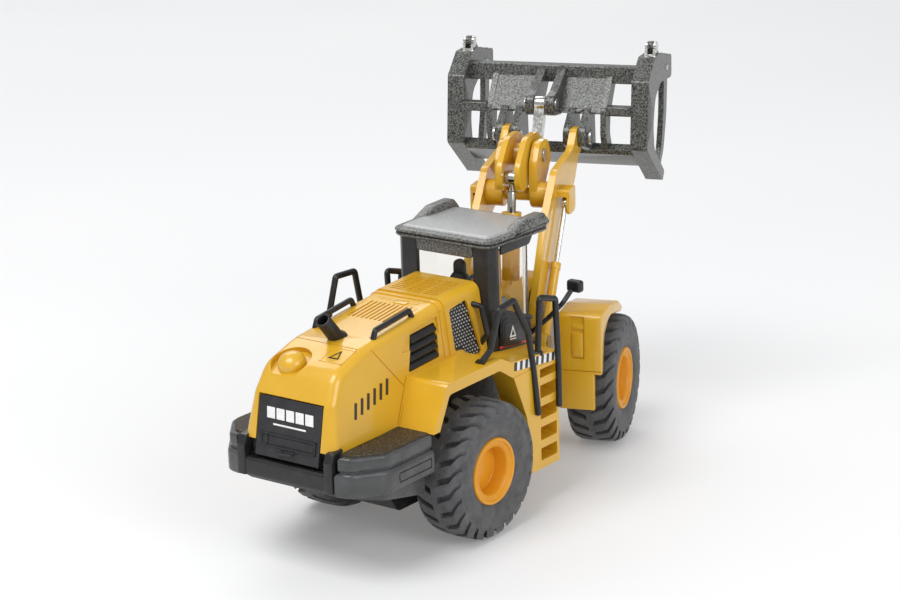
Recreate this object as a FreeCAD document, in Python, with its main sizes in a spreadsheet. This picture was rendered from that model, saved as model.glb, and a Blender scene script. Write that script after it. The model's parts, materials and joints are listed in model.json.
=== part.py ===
"""Toy front loader with a log grapple, 1:50: an articulated wheel loader built as separate pieces.

Frame of the model: +X forward along the rear frame, +Y left, +Z up, origin on the ground
directly under the articulation pin.  The front frame and all it carries are drawn straight
ahead and then turned about that pin by steer_angle, which is how the toy stands at rest.
"""
import FreeCAD, Part
import Sketcher
import math
import os
import re
from types import SimpleNamespace

from FreeCAD import Placement, Rotation, Vector

doc = FreeCAD.newDocument("toy_front_loader")

# ---------------------------------------------------------------- driving dimensions (mm, degrees)
DIMENSIONS = [
    ("steer_angle", 18.7, "turn of the front frame to the left at rest"),
    ("axle_x", 44.25, "each axle's distance from the articulation pin"),
    ("tyre_radius", 21.5, "outer radius of a tyre, and height of an axle"),
    ("tyre_width", 15.9, "width of a tyre"),
    ("track_outer", 34.1, "outer face of a tyre from the middle plane"),
    ("rim_radius", 10.4, "rim radius, where the tyre sits"),
    ("axle_radius", 1.5, "radius of an axle rod"),
    ("running_gap", 0.05, "radial clearance of a turning or sliding fit"),
    ("pin_radius", 1.5, "radius of the small hinge pins"),
    ("chassis_half", 13.0, "half width of the rear chassis"),
    ("belly", 11.5, "flat underside of the rear chassis"),
    ("screw_sink", 1.3, "depth of the counterbores for the chassis screws"),
    ("axle_housing", 4.5, "radius of an axle housing"),
    ("housing_half", 17.6, "half length of an axle housing"),
    ("hitch_radius", 7.0, "rounding of the articulation lugs"),
    ("hitch_pin", 2.0, "radius of the articulation pin"),
    ("hitch_lug", 3.5, "thickness of an articulation lug"),
    ("hitch_low", 14.5, "underside of the lowest articulation lug"),
    ("hitch_high", 35.0, "underside of the highest articulation lug"),
    ("weight_low", 20.0, "underside of the counterweight"),
    ("weight_step", 28.5, "height where the counterweight widens"),
    ("weight_top", 40.0, "top of the counterweight"),
    ("tread_plate", 0.6, "thickness of the tread plates"),
    ("hood_half", 18.0, "half width of the block that the hood is cut from"),
    ("panel_half", 12.0, "half width of the rear grille panel"),
    ("fender_in", 15.2, "inner edge of a rear fender"),
    ("fender_out", 30.0, "outer edge of a rear fender"),
    ("ladder_in", 22.0, "inner face of a ladder block"),
    ("ladder_out", 30.2, "outer face of a ladder block"),
    ("ladder_web", 1.8, "thickness of the wall behind a ladder's steps"),
    ("rail_radius", 0.95, "radius of the hand rail rods"),
    ("cab_half", 18.4, "half width of the cab"),
    ("cab_floor", 46.5, "underside of the cab floor"),
    ("cab_wall", 1.4, "wall thickness of the cab tub"),
    ("glass_wall", 0.9, "wall thickness of the cab glass"),
    ("glass_top", 82.3, "top edge of the cab glass"),
    ("roof_low", 83.3, "underside of the cab roof"),
    ("roof_high", 86.9, "top of the cab roof"),
    ("roof_ear", 2.3, "height of the raised front corners of the roof"),
    ("front_half", 9.8, "half width of the front chassis"),
    ("slot_half", 4.6, "half width of the slot for the tilt cylinder"),
    ("arm_in", 10.6, "inner face of a lift arm"),
    ("arm_out", 13.0, "outer face of a lift arm"),
    ("arm_pin", 2.0, "radius of the lift arm pivot pin"),
    ("tube_radius", 4.4, "radius of the cross tube"),
    ("tube_waist", 2.2, "radius of the cross tube under the bell crank"),
    ("lug_in", 4.5, "inner face of a bell crank lug"),
    ("lug_out", 7.1, "outer face of a bell crank lug"),
    ("crank_in", 2.1, "inner face of a bell crank plate"),
    ("crank_out", 4.0, "outer face of a bell crank plate"),
    ("link_half", 1.7, "half thickness of the tilt link"),
    ("cylinder_y", 14.9, "middle plane of a lift cylinder"),
    ("front_fender_in", 17.2, "inner edge of a front fender"),
    ("front_fender_out", 31.8, "outer edge of a front fender"),
    ("side_in", 29.3, "inner face of a grapple end plate"),
    ("side_out", 35.2, "outer face of a grapple end plate"),
    ("side_slot", 4.0, "width of the slot in a grapple end plate"),
    ("side_mid", 32.25, "middle plane of a grapple end plate"),
    ("claw_half", 0.95, "half thickness of a claw"),
]
sheet = doc.addObject("Spreadsheet::Sheet", "Dims")
for row, (alias, value, note) in enumerate(DIMENSIONS, start=1):
    sheet.set(f"A{row}", note)
    sheet.set(f"B{row}", str(value))
    sheet.setAlias(f"B{row}", alias)
doc.recompute()
d = SimpleNamespace(**{alias: float(sheet.get(alias)) for alias, _, _ in DIMENSIONS})

SIDES = (("left", 1), ("right", -1))

# Joint centres of the front frame, (x, z), drawn straight ahead with the arms raised.
ARM_PIVOT = (16.0, 52.5)
LIFT_BASE = (12.0, 42.5)
LIFT_EYE = (40.5, 81.5)
TILT_BASE = (26.0, 56.0)
CRANK_REAR = (29.6, 92.0)
CRANK_PIVOT = (42.3, 96.9)
CRANK_FRONT = (57.0, 92.5)
ARM_TIP = (66.7, 97.9)
LINK_TOP = (65.3, 109.0)
TUBE_CENTRE = (37.5, 84.8)
CLAW_HINGE = (99.0, 116.0)
CLAMP_EYE = (89.5, 125.0)
CLAMP_AIM = (80.0, 104.0)


# ---------------------------------------------------------------- helpers
def cells(formula):
    """Turn a formula written with bare aliases into one that reads the sheet."""
    return re.sub(r"[a-z][a-z_]*", lambda word: "Dims." + word.group(), formula)


def origin_plane(body, role):
    return next(item for item in body.Origin.OriginFeatures if item.Role == role)


def draw_outline(sketch, corners):
    """Add a closed outline; a corner is (a, b) or (a, b, radius of its rounding)."""
    points = [Vector(c[0], c[1], 0) for c in corners]
    radii = [c[2] if len(c) > 2 else 0 for c in corners]
    starts, ends, arcs = [], [], []
    for i, point in enumerate(points):
        if not radii[i]:
            starts.append(point)
            ends.append(point)
            arcs.append(None)
            continue
        back = (points[i - 1] - point).normalize()
        ahead = (points[(i + 1) % len(points)] - point).normalize()
        half = back.getAngle(ahead) / 2
        reach = radii[i] / math.tan(half)
        middle = (back + ahead).normalize() * (radii[i] / math.sin(half) - radii[i])
        starts.append(point + back * reach)
        ends.append(point + ahead * reach)
        arcs.append(point + middle)
    for i in range(len(points)):
        if arcs[i]:
            sketch.addGeometry(Part.Arc(starts[i], arcs[i], ends[i]), False)
        following = starts[(i + 1) % len(points)]
        if (following - ends[i]).Length > 1e-6:
            sketch.addGeometry(Part.LineSegment(ends[i], following), False)


def new_body(label, front=False):
    """A body at the origin; a piece of the front frame is turned by the steering angle."""
    body = doc.addObject("PartDesign::Body", label)
    body.Label = label
    if front:
        body.setExpression("Placement.Rotation.Angle", cells("steer_angle"))
    return body


def new_sketch(body, plane, level):
    """A sketch on an origin plane of the body, moved along +Y, +X or +Z to the given level."""
    sketch = body.newObject("Sketcher::SketchObject", body.Label + "_sketch")
    sketch.AttachmentSupport = [(origin_plane(body, plane), "")]
    sketch.MapMode = "FlatFace"
    towards = "-" if plane == "XZ_Plane" else ""
    sketch.setExpression("AttachmentOffset.Base.z", cells(f"{towards}({level})"))
    return sketch


def slab(body, plane, outlines, low, high, cut=False):
    """Pad (or pocket) outlines between two levels along the plane's axis."""
    base = high if plane == "XZ_Plane" else low
    sketch = new_sketch(body, plane, base)
    for corners in outlines:
        draw_outline(sketch, corners)
    return finish_slab(body, sketch, low, high, cut)


def disc(body, centre, radius, low, high, cut=False, plane="XZ_Plane"):
    """Pad (or pocket) a circle, its radius bound to the sheet."""
    base = high if plane == "XZ_Plane" else low
    sketch = new_sketch(body, plane, base)
    circle = sketch.addGeometry(Part.Circle(Vector(*centre, 0), Vector(0, 0, 1), 1), False)
    radius_rule = sketch.addConstraint(Sketcher.Constraint("Radius", circle, 1.0))
    sketch.setExpression(f"Constraints[{radius_rule}]", cells(radius))
    return finish_slab(body, sketch, low, high, cut)


def finish_slab(body, sketch, low, high, cut):
    kind = "Pocket" if cut else "Pad"
    feature = body.newObject("PartDesign::" + kind, f"{body.Label}_{kind.lower()}")
    feature.Profile = sketch
    feature.setExpression("Length", cells(f"({high}) - ({low})"))
    if cut:
        feature.Reversed = True
    sketch.Visibility = False
    return feature


def side_levels(side, inner, outer):
    """Levels along Y of a piece between two distances from the middle plane."""
    return (inner, outer) if side > 0 else (f"-({outer})", f"-({inner})")


def turned(body, corners, centre, flip=False):
    """Revolve a profile of (radius, y) corners about the axis along Y through centre (x, z)."""
    sketch = body.newObject("Sketcher::SketchObject", body.Label + "_profile")
    sketch.AttachmentSupport = [(origin_plane(body, "XY_Plane"), "")]
    sketch.MapMode = "FlatFace"
    sketch.AttachmentOffset = Placement(Vector(centre[0], 0, centre[1]), Rotation())
    sign = -1 if flip else 1
    draw_outline(sketch, [(c[0], sign * c[1], *c[2:]) for c in corners])
    feature = body.newObject("PartDesign::Revolution", body.Label + "_turned")
    feature.Profile = sketch
    feature.ReferenceAxis = (sketch, ["V_Axis"])
    feature.Angle = 360
    sketch.Visibility = False
    return feature


def boolean(kind, label, base, tool):
    result = doc.addObject("Part::" + kind, label)
    result.Base = base
    result.Tool = tool
    result.Label = label
    return result


def group(label, members):
    """One node made of several separate solids."""
    result = doc.addObject("Part::Compound", label)
    result.Links = members
    result.Label = label
    return result


def rod_shape(points, radius, bend):
    """A round rod along straight runs joined by tangent arcs of radius bend."""
    points = [Vector(*p) for p in points]
    edges = []
    start = points[0]
    for before, corner, after in zip(points, points[1:], points[2:]):
        back = (before - corner).normalize()
        ahead = (after - corner).normalize()
        half = back.getAngle(ahead) / 2
        reach = bend / math.tan(half)
        middle = corner + (back + ahead).normalize() * (bend / math.sin(half) - bend)
        first = corner + back * reach
        second = corner + ahead * reach
        edges += [Part.LineSegment(start, first).toShape(), Part.Arc(first, middle, second).toShape()]
        start = second
    edges.append(Part.LineSegment(start, points[-1]).toShape())
    path = Part.Wire(edges)
    along = points[1] - points[0]
    section = Part.Wire(Part.Circle(points[0], along, radius).toShape())
    return path.makePipeShell([section], True, True)


def bent_rods(label, routes, bend=2.6):
    """A node of bent rods, one solid to each route."""
    rods = doc.addObject("Part::Feature", label)
    rods.Shape = Part.makeCompound([rod_shape(route, d.rail_radius, bend) for route in routes])
    rods.Label = label
    rods.Placement = Placement()
    return rods


def mirrored(route):
    return [(x, -y, z) for x, y, z in route]


XZ, XY, YZ = "XZ_Plane", "XY_Plane", "YZ_Plane"


def box_corners(low, high, radius=0):
    """Corners of a rectangle from its lowest and highest corner."""
    (a, b), (c, e) = low, high
    return [(a, b, radius), (c, b, radius), (c, e, radius), (a, e, radius)]


def both_halves(half_outline):
    """Mirror a half outline of (x, y) corners, y > 0, given from rear to front, about the X axis."""
    return half_outline + [(c[0], -c[1], *c[2:]) for c in reversed(half_outline)]


# ---------------------------------------------------------------- rear chassis and articulation
SCREW_PLACES = [(-58, 9), (-58, -9), (-24, 8), (-24, -8)]


def build_rear_chassis():
    body = new_body("rear_chassis")
    rear_axle = (-d.axle_x, d.tyre_radius)
    side_view = [(-93, 26.8, 1.5), (-73, 22.2, 3), (-66, d.belly, 3), (-20, d.belly, 3), (-13, 14),
                 (-13, 44.5), (-56, 44.5, 2), (-62, 38.5, 2), (-93, 38.5)]
    slab(body, XZ, [side_view], "-chassis_half", "chassis_half")
    for place in SCREW_PLACES:
        disc(body, place, "pin_radius + running_gap", "belly", "belly + screw_sink", cut=True, plane=XY)
    disc(body, rear_axle, "axle_housing", "-housing_half", "housing_half")
    for low in ("hitch_low", "hitch_high"):
        lug = [(-16, -d.hitch_radius), (d.hitch_radius, -d.hitch_radius, d.hitch_radius - 0.1),
               (d.hitch_radius, d.hitch_radius, d.hitch_radius - 0.1), (-16, d.hitch_radius)]
        slab(body, XY, [lug], low, f"{low} + hitch_lug")
        disc(body, (0, 0), "hitch_pin", low, f"{low} + hitch_lug", cut=True, plane=XY)
    disc(body, rear_axle, "axle_radius + running_gap", "-housing_half", "housing_half", cut=True)
    return body


def build_articulation_pin():
    """A rivet through the four articulation lugs."""
    body = new_body("articulation_pin")
    head = 1.2
    disc(body, (0, 0), "hitch_pin", "hitch_low", "hitch_high + hitch_lug", plane=XY)
    disc(body, (0, 0), "hitch_pin + 1.3", f"hitch_low - {head}", "hitch_low", plane=XY)
    disc(body, (0, 0), "hitch_pin + 1.3", "hitch_high + hitch_lug", f"hitch_high + hitch_lug + {head}",
         plane=XY)
    return body


def build_chassis_screws():
    """The heads of four screws, sunk into counterbores in the flat belly of the chassis."""
    heads = []
    for number, place in enumerate(SCREW_PLACES):
        body = new_body(f"screw_{number}")
        disc(body, place, "pin_radius", "belly + 0.2", "belly + screw_sink", plane=XY)
        heads.append(body)
    return group("chassis_screws", heads)


# ---------------------------------------------------------------- wheels
def build_axle(label, x, front):
    body = new_body(label, front)
    middle = d.track_outer - d.tyre_width / 2
    disc(body, (x, d.tyre_radius), "axle_radius", f"-{middle}", f"{middle}")
    return body


def build_rims(label, x, front):
    """Two dished rims, each with a blind bore for the axle."""
    rims = []
    middle = d.track_outer - d.tyre_width / 2
    for side_name, side in SIDES:
        body = new_body(f"{label}_{side_name}", front)
        profile = [(d.axle_radius, -7.6), (d.rim_radius, -7.6), (d.rim_radius, 7.3, 0.4), (9.2, 7.3, 0.4),
                   (8.8, 6.2), (7.5, 6.2, 0.4), (6.9, 1.6), (0, 1.6), (0, 0), (d.axle_radius, 0)]
        raised = [(c[0], middle + c[1], *c[2:]) for c in profile]
        turned(body, raised, (x, d.tyre_radius), flip=side < 0)
        rims.append(body)
    return group(label, rims)


def build_tyre(label, x, side, front):
    body = new_body(label, front)
    half = d.tyre_width / 2
    middle = d.track_outer - half
    shoulder = d.tyre_radius - 1.6
    profile = [(d.rim_radius, -half + 1.2), (12.2, -half, 1), (shoulder, -half, 1.2), (d.tyre_radius, -half + 2),
               (d.tyre_radius, half - 2), (shoulder, half, 1.2), (12.2, half, 1), (d.rim_radius, half - 1.2)]
    raised = [(c[0], middle + c[1], *c[2:]) for c in profile]
    turned(body, raised, (x, d.tyre_radius), flip=side < 0)
    return body


# ---------------------------------------------------------------- counterweight, bumper, tread plates
def build_counterweight():
    """A wide upper block on a narrower skirt whose underside rises towards the tail."""
    body = new_body("counterweight")
    upper = both_halves([(-98.5, 18.3), (-101.5, 18.3), (-100.5, 23, 4), (-91, 30.3, 6), (-69, 30.3, 1)])
    lower = both_halves([(-98.3, 16), (-96.5, 20, 4), (-89, 26.5, 5), (-69, 26.5, 1)])
    chassis_gap = box_corners((-93.1, -d.chassis_half - 0.1), (-60, d.chassis_half + 0.1))
    slab(body, XY, [upper], "weight_step", "weight_top")
    slab(body, XY, [lower], "weight_low", "weight_step")
    slab(body, XZ, [[(-104, 28.1), (-67, 20.5), (-67, 14), (-104, 14)]], "-40", "40", cut=True)
    slab(body, XY, [chassis_gap], "weight_low", "weight_top", cut=True)
    return body


def build_tread_plates():
    plates = []
    outline = [(-99, 18.6), (-98.6, 22.4, 3), (-90.6, 29.3, 5), (-69.6, 29.3, 1), (-69.6, 18.6)]
    for side_name, side in SIDES:
        body = new_body(f"tread_plate_{side_name}")
        slab(body, XY, [[(c[0], side * c[1], *c[2:]) for c in outline]], "weight_top",
             "weight_top + tread_plate")
        plates.append(body)
    return group("tread_plates", plates)


def build_rear_bumper():
    """A beam across the tail between two upright posts."""
    body = new_body("rear_bumper")
    rear_view = [(-17.7, 28.7), (17.7, 28.7), (17.7, 40.3, 0.8), (15, 40.3, 0.8), (15, 35), (-15, 35),
                 (-15, 40.3, 0.8), (-17.7, 40.3, 0.8)]
    slab(body, YZ, [rear_view], "-102", "-98.5")
    return body


# ---------------------------------------------------------------- hood
HOOD_SIDE = [(-99.9, 40.2), (-97.3, 54, 5), (-92.5, 61.2, 6), (-80.2, 66.1, 20), (-42, 70.8, 40), (-22.6, 72),
             (-22.6, 48.6), (-60, 50.4), (-66, 46), (-69.4, 40.2)]
HOOD_HALF = [(16.9, 40), (15.9, 46), (15, 52), (12.4, 66), (10.4, 72.6)]


def prism(label, plane, outlines, low, high):
    body = new_body(label)
    slab(body, plane, outlines, low, high)
    return body


def hood_section(inset):
    """Cross section of the hood, narrowed by inset."""
    half = [(y - inset, z) for y, z in HOOD_HALF]
    return half + [(-y, z) for y, z in reversed(half)]


def hood_band(label, outer, inner):
    """Both sloping side walls of the hood, as the layer between two insets."""
    walls = []
    for side in (1, -1):
        near = [(side * (y - outer), z) for y, z in HOOD_HALF]
        far = [(side * (y - inner), z) for y, z in reversed(HOOD_HALF)]
        walls.append(near + far)
    return prism(label, YZ, walls, "-100", "-20")


VENT_WINDOW = [(-57.1, 64.4, 0.8), (-45.1, 65.3, 0.8), (-46.1, 55.2, 0.8), (-61, 54.5, 0.8)]
MESH_WINDOW = [(-38.5, 68, 1), (-29.7, 69, 1), (-24.9, 50.6, 0.8), (-31, 51, 1), (-35, 54.4, 1.5), (-38.5, 54.8, 1)]
PANEL_SIDE = [(-100.8, 35.6), (-97.2, 53.4), (-95.8, 53.4), (-99.4, 35.6)]


def build_hood():
    block = boolean("Common", "hood_block", prism("hood_side_block", XZ, [HOOD_SIDE], "-hood_half", "hood_half"),
                    prism("hood_end_block", YZ, [hood_section(0)], "-101", "-20"))
    wall = 1.5
    room_side = [(-97.4, 40.2), (-94.6, 54), (-90.5, 59.2), (-79.8, 64.2), (-42, 69.1), (-22.6 - wall, 70.2),
                 (-22.6 - wall, 48), (-60, 48), (-66, 40), (-70, 40)]
    room = boolean("Common", "hood_room", prism("hood_room_side", XZ, [room_side], "-hood_half", "hood_half"),
                   prism("hood_room_end", YZ, [hood_section(wall)], "-101", "-20"))
    shell = boolean("Cut", "hood_shell", block, room)
    windows = prism("hood_windows", XZ, [VENT_WINDOW, MESH_WINDOW], "-hood_half", "hood_half")
    opened = boolean("Cut", "hood_opened", shell, windows)
    panel_space = prism("panel_space", XZ, [PANEL_SIDE], "-panel_half", "panel_half")
    return boolean("Cut", "hood", opened, panel_space), block


def build_hood_inserts():
    """Louvred vents and mesh panels fill the hood's side windows; the grille panel its rear."""
    windows = prism("insert_block", XZ, [VENT_WINDOW, MESH_WINDOW], "-hood_half", "hood_half")
    inserts = boolean("Common", "side_grilles", windows, hood_band("insert_band", 0.25, 1.5))
    panel = prism("rear_grille_panel", XZ, [PANEL_SIDE], "-panel_half", "panel_half")
    return inserts, panel


def build_hood_fittings(hood_block):
    top_rail = [(-72.6, -11.0, 64), (-71.6, -11.0, 69.3), (-54.8, -11.0, 71.4), (-53.6, -11.0, 67)]
    door_rail = [(-27.4, -11.2, 67.0), (-25.6, -16.4, 66.2), (-24.9, -18.0, 57), (-24.6, -13.8, 53.2)]
    rails = bent_rods("hood_rail_rods", [top_rail, mirrored(top_rail), door_rail, mirrored(door_rail)], bend=1.2)
    exhaust = doc.addObject("Part::Feature", "exhaust_tube")
    foot, lean = Vector(-74.6, 0, 63), Vector(-6.0, 0, 7.0)
    tube = Part.makeCylinder(2.3, 13.2, foot, lean)
    bore = Part.makeCylinder(1.6, 13.2, foot + lean.normalize() * 9, lean)
    exhaust.Shape = tube.cut(bore)
    exhaust.Placement = Placement()
    dome = doc.addObject("Part::Feature", "dome_ball")
    dome.Shape = Part.makeSphere(4.6, Vector(-89.9, 5.7, 60.6))
    dome.Placement = Placement()
    return [boolean("Cut", "hood_rails", rails, hood_block), boolean("Cut", "exhaust_pipe", exhaust, hood_block),
            boolean("Cut", "hood_dome", dome, hood_block)]


# ---------------------------------------------------------------- cab
CAB_HALF_PLAN = [(-22, 18.4, 1.5), (-0.6, 18.4, 4), (2.8, 9, 6), (3.4, 3, 8)]
GLASS_HALF_PLAN = [(-17.2, 17.6, 0.5), (-1.0, 17.6, 4), (2.0, 9, 6), (2.8, 3, 8)]


def inset_half(half_plan, inset):
    """The same half plan drawn smaller all round."""
    return [(x + (inset if x < -10 else -inset), y - (inset if y > 4 else 0), *rest)
            for x, y, *rest in half_plan]


def build_cab():
    tub_side = [(-22, 46.5), (4, 46.5), (4, 55.6), (-1.5, 56.2, 2), (-16.9, 62.8, 1), (-17.3, 63.7), (-22, 63.7)]
    tub_block = boolean("Common", "tub_block", prism("tub_side", XZ, [tub_side], "-cab_half", "cab_half"),
                        prism("tub_plan", XY, [both_halves(CAB_HALF_PLAN)], "cab_floor", "roof_low"))
    tub_room = prism("tub_room", XY, [both_halves(inset_half(CAB_HALF_PLAN, d.cab_wall))],
                     "cab_floor + cab_wall", "roof_low")
    tub = boolean("Cut", "cab_tub", tub_block, tub_room)
    glass_side = [(-17.2, 82.3), (-17.2, 63.75), (-16.9, 62.85, 1), (-1.5, 56.25, 2), (4, 55.65), (4, 82.3)]
    glass_block = boolean("Common", "glass_block", prism("glass_side", XZ, [glass_side], "-cab_half", "cab_half"),
                          prism("glass_plan", XY, [both_halves(GLASS_HALF_PLAN)], "cab_floor", "glass_top"))
    glass_room = prism("glass_room", XY, [both_halves(inset_half(GLASS_HALF_PLAN, d.glass_wall))],
                       "cab_floor", "glass_top - glass_wall")
    glass = boolean("Cut", "cab_glass", glass_block, glass_room)
    return tub, glass


def build_cab_rear_frame():
    """Two chamfered rear pillars under a header."""
    body = new_body("cab_rear_frame")
    pillars = []
    for side in (1, -1):
        pillars.append([(-22, side * 10.8), (-22, side * 15.6), (-19.6, side * 18.3), (-17.4, side * 18.3),
                        (-17.4, side * 10.8)])
    header = [(-22, -15.6), (-19.6, -18.3), (-17.4, -18.3), (-17.4, 18.3), (-19.6, 18.3), (-22, 15.6)]
    slab(body, XY, pillars, "63.7", "81")
    slab(body, XY, [header], "81", "roof_low")
    return body


def build_cab_roof():
    body = new_body("cab_roof")
    plan = both_halves([(-24.6, 19, 4), (7.6, 20.4, 4)])
    slab(body, XY, [plan], "roof_low", "roof_high")
    for side in (1, -1):
        ear = [(-3.5, side * 13.2, 2.5), (-3.5, side * 19.2, 2.5), (7.2, side * 19.8, 3), (7.2, side * 13.2, 3)]
        slab(body, XY, [ear], "roof_high", "roof_high + roof_ear")
    return body


def build_cab_interior():
    seat = new_body("operator_seat")
    slab(seat, XZ, [[(-15.6, 56), (-15.2, 70.4, 1.5), (-12.6, 70.4, 1.2), (-12, 60.5, 1), (-5.5, 60, 1.5),
                     (-5.5, 56, 1)]], "-4.7", "4.7")
    slab(seat, XZ, [box_corners((-12.5, 47.9), (-7.5, 56))], "-3", "3")
    slab(seat, XZ, [box_corners((-15.2, 70.4), (-12.9, 76), 0.6)], "-2", "2")
    dash = new_body("dash_block")
    slab(dash, XZ, [[(-3.5, 47.9), (0.2, 47.9), (0.2, 61, 1), (-3, 62.5, 1), (-4.6, 60.5, 1)]], "-7", "7")
    console = [(-14.5, 47.9), (-7, 47.9), (-7, 62, 1), (-14.5, 64, 1)]
    side_box = new_body("side_console_block")
    slab(side_box, XZ, [console], "9", "14.5")
    consoles = group("cab_consoles", [dash, side_box])
    wheel = doc.addObject("Part::Feature", "steering_wheel")
    hub, column_foot = Vector(-6.2, 0, 65.4), Vector(-3.7, 0, 62.0)
    column = column_foot - hub
    ring = Part.makeTorus(4.4, 0.65, hub, column)
    post = Part.makeCylinder(0.8, column.Length, hub, column)
    across, up = Vector(0, 1, 0), Vector(0, 1, 0).cross(column).normalize()
    spokes = [Part.makeCylinder(0.5, 8.6, hub - way * 4.3, way) for way in (across, up)]
    wheel.Shape = ring.fuse([post] + spokes).removeSplitter()
    wheel.Placement = Placement()
    return seat, consoles, wheel


# ---------------------------------------------------------------- rear fenders, ladders and rails
FENDER_SIDE = [(-69.3, 39.9), (-61.8, 53.4, 2), (-34.6, 53.8, 3), (-29.8, 51.4, 3), (-5, 49.0), (-5, 46.2),
               (-29, 46.2), (-35.6, 50.3, 3), (-61, 49.9, 2), (-66.2, 39.9)]
LADDER_SIDE = [(-28.8, 46.2), (-22, 31, 8), (-20.2, 12.7), (-5, 12.7), (-5, 46.2)]
STEP_OPENINGS = [(15.3, 19.3), (21.9, 26.2), (28.8, 33.0), (35.6, 39.8), (42.2, 45.0)]


def build_fender(side_name, side, hood_block, cab_half_plan):
    body = new_body(f"fender_band_{side_name}")
    slab(body, XZ, [FENDER_SIDE], *side_levels(side, "fender_in", "fender_out"))
    cab_space = prism(f"cab_space_{side_name}", XY, [both_halves(cab_half_plan)], "40", "60")
    beside_hood = boolean("Cut", f"fender_beside_hood_{side_name}", body, hood_block)
    return boolean("Cut", f"rear_fender_{side_name}", beside_hood, cab_space)


def build_ladder(side_name, side):
    body = new_body(f"ladder_{side_name}")
    slab(body, XZ, [LADDER_SIDE], *side_levels(side, "ladder_in", "ladder_out"))
    openings = [box_corners((-14.9, low), (-6.2, high), 0.3) for low, high in STEP_OPENINGS]
    slab(body, XZ, openings, *side_levels(side, "ladder_in + ladder_web", "ladder_out"), cut=True)
    return body


def build_rails(side_name, side, fender, ladder):
    """Rails of one side: two at the right ladder; one at the left ladder and a guard rail behind it."""
    edge = 31.1
    rear_rail = [(-41.5, -27, 53.2), (-35.4, -27.2, 55.4), (-33.6, -27.6, 69.2), (-24.6, -28.4, 71.2),
                 (-21, -29.4, 58.5), (-17.8, -edge, 46.8), (-17.4, -edge, 31.4)]
    front_rail = [(-13.6, -28.6, 49.2), (-15, -29.6, 69.4), (-4.4, -30, 66.4), (-5.2, -30.4, 52),
                  (-6.6, -edge, 44.4), (-6.0, -edge, 31.0)]
    guard = [(-48, 27.9, 53.0), (-43.2, 28, 75.2), (-29.6, 28, 74.6), (-27.4, 27.9, 50.6)]
    routes = [rear_rail, front_rail] if side < 0 else [mirrored(front_rail)]
    rods = bent_rods(f"rail_rods_{side_name}", routes, bend=2.2)
    above_deck = boolean("Cut", f"rails_above_deck_{side_name}", rods, fender)
    rails = [boolean("Cut", f"ladder_rails_{side_name}", above_deck, ladder)]
    if side > 0:
        rails.append(boolean("Cut", "guard_rail_left", bent_rods("guard_rod", [guard], bend=3.4), fender))
    return rails


def build_mirror(tub):
    mirror = doc.addObject("Part::Feature", "mirror_on_stem")
    stem = rod_shape([(-1.8, -17.2, 51), (0.6, -23.4, 57), (0.2, -28.8, 62.4), (3.8, -29.4, 65.6)], 0.8, 1.4)
    head = Part.makeBox(2.8, 5.2, 3.8, Vector(3.4, -33.0, 65.2))
    head = head.makeFillet(0.9, head.Edges)
    mirror.Shape = stem.fuse(head).removeSplitter()
    mirror.Placement = Placement()
    return boolean("Cut", "cab_mirror", mirror, tub)


# ---------------------------------------------------------------- front frame
def build_front_chassis():
    body = new_body("front_chassis", front=True)
    front_axle = (d.axle_x, d.tyre_radius)
    side_view = [(13, 12.5, 2), (24, 11.5), (56, 12.5, 4), (60.5, 20, 4), (60.5, 33, 3), (47, 43, 3),
                 (37, 58, 3), (30, 61, 3), (22, 61, 4), (11.2, 57.5, 3), (10.8, 47, 2), (13, 44)]
    slab(body, XZ, [side_view], "-front_half", "front_half")
    disc(body, LIFT_BASE, "3.3", "-front_half", "front_half")
    disc(body, front_axle, "axle_housing", "-housing_half", "housing_half")
    slot = [(19.5, 46, 2), (40, 44), (75, 44), (75, 72), (19.5, 72)]
    slab(body, XZ, [slot], "-slot_half", "slot_half", cut=True)
    for low in ("hitch_low + hitch_lug + 0.3", "hitch_high - hitch_lug - 0.3"):
        lug = [(16, -d.hitch_radius), (-d.hitch_radius, -d.hitch_radius, d.hitch_radius - 0.1),
               (-d.hitch_radius, d.hitch_radius, d.hitch_radius - 0.1), (16, d.hitch_radius)]
        slab(body, XY, [lug], low, f"{low} + hitch_lug")
        disc(body, (0, 0), "hitch_pin + running_gap", low, f"{low} + hitch_lug", cut=True, plane=XY)
    disc(body, front_axle, "axle_radius + running_gap", "-housing_half", "housing_half", cut=True)
    disc(body, ARM_PIVOT, "arm_pin", "-front_half", "front_half", cut=True)
    for centre in (LIFT_BASE, TILT_BASE):
        disc(body, centre, "pin_radius", "-front_half", "front_half", cut=True)
    return body


def headed_pin(label, centre, radius, half_length, head=0.9, lip=0.7):
    """A pin along Y with a head on each end."""
    body = new_body(label, front=True)
    disc(body, centre, radius, f"-({half_length})", half_length)
    for side in (1, -1):
        disc(body, centre, f"{radius} + {lip}", *side_levels(side, half_length, f"{half_length} + {head}"))
    return body


def side_pins(label, centre, radius, inner, outer, head=0.9, lip=0.7):
    """A pair of pins along Y, one on each side, headed on the outer end."""
    pins = []
    for side_name, side in SIDES:
        body = new_body(f"{label}_{side_name}", front=True)
        disc(body, centre, radius, *side_levels(side, inner, outer))
        disc(body, centre, f"{radius} + {lip}", *side_levels(side, outer, f"{outer} + {head}"))
        pins.append(body)
    return pins


def build_front_pins():
    pins = [headed_pin("arm_pivot_pin", ARM_PIVOT, "arm_pin", "arm_out + 0.1", head=0.1),
            *side_pins("lift_base_pin", LIFT_BASE, "pin_radius", "front_half - 4", "cylinder_y + 1.5", head=0.5)]
    tilt_pin = new_body("tilt_base_pin", front=True)
    disc(tilt_pin, TILT_BASE, "pin_radius", "-front_half", "front_half")
    return group("front_frame_pins", pins + [tilt_pin])


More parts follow.
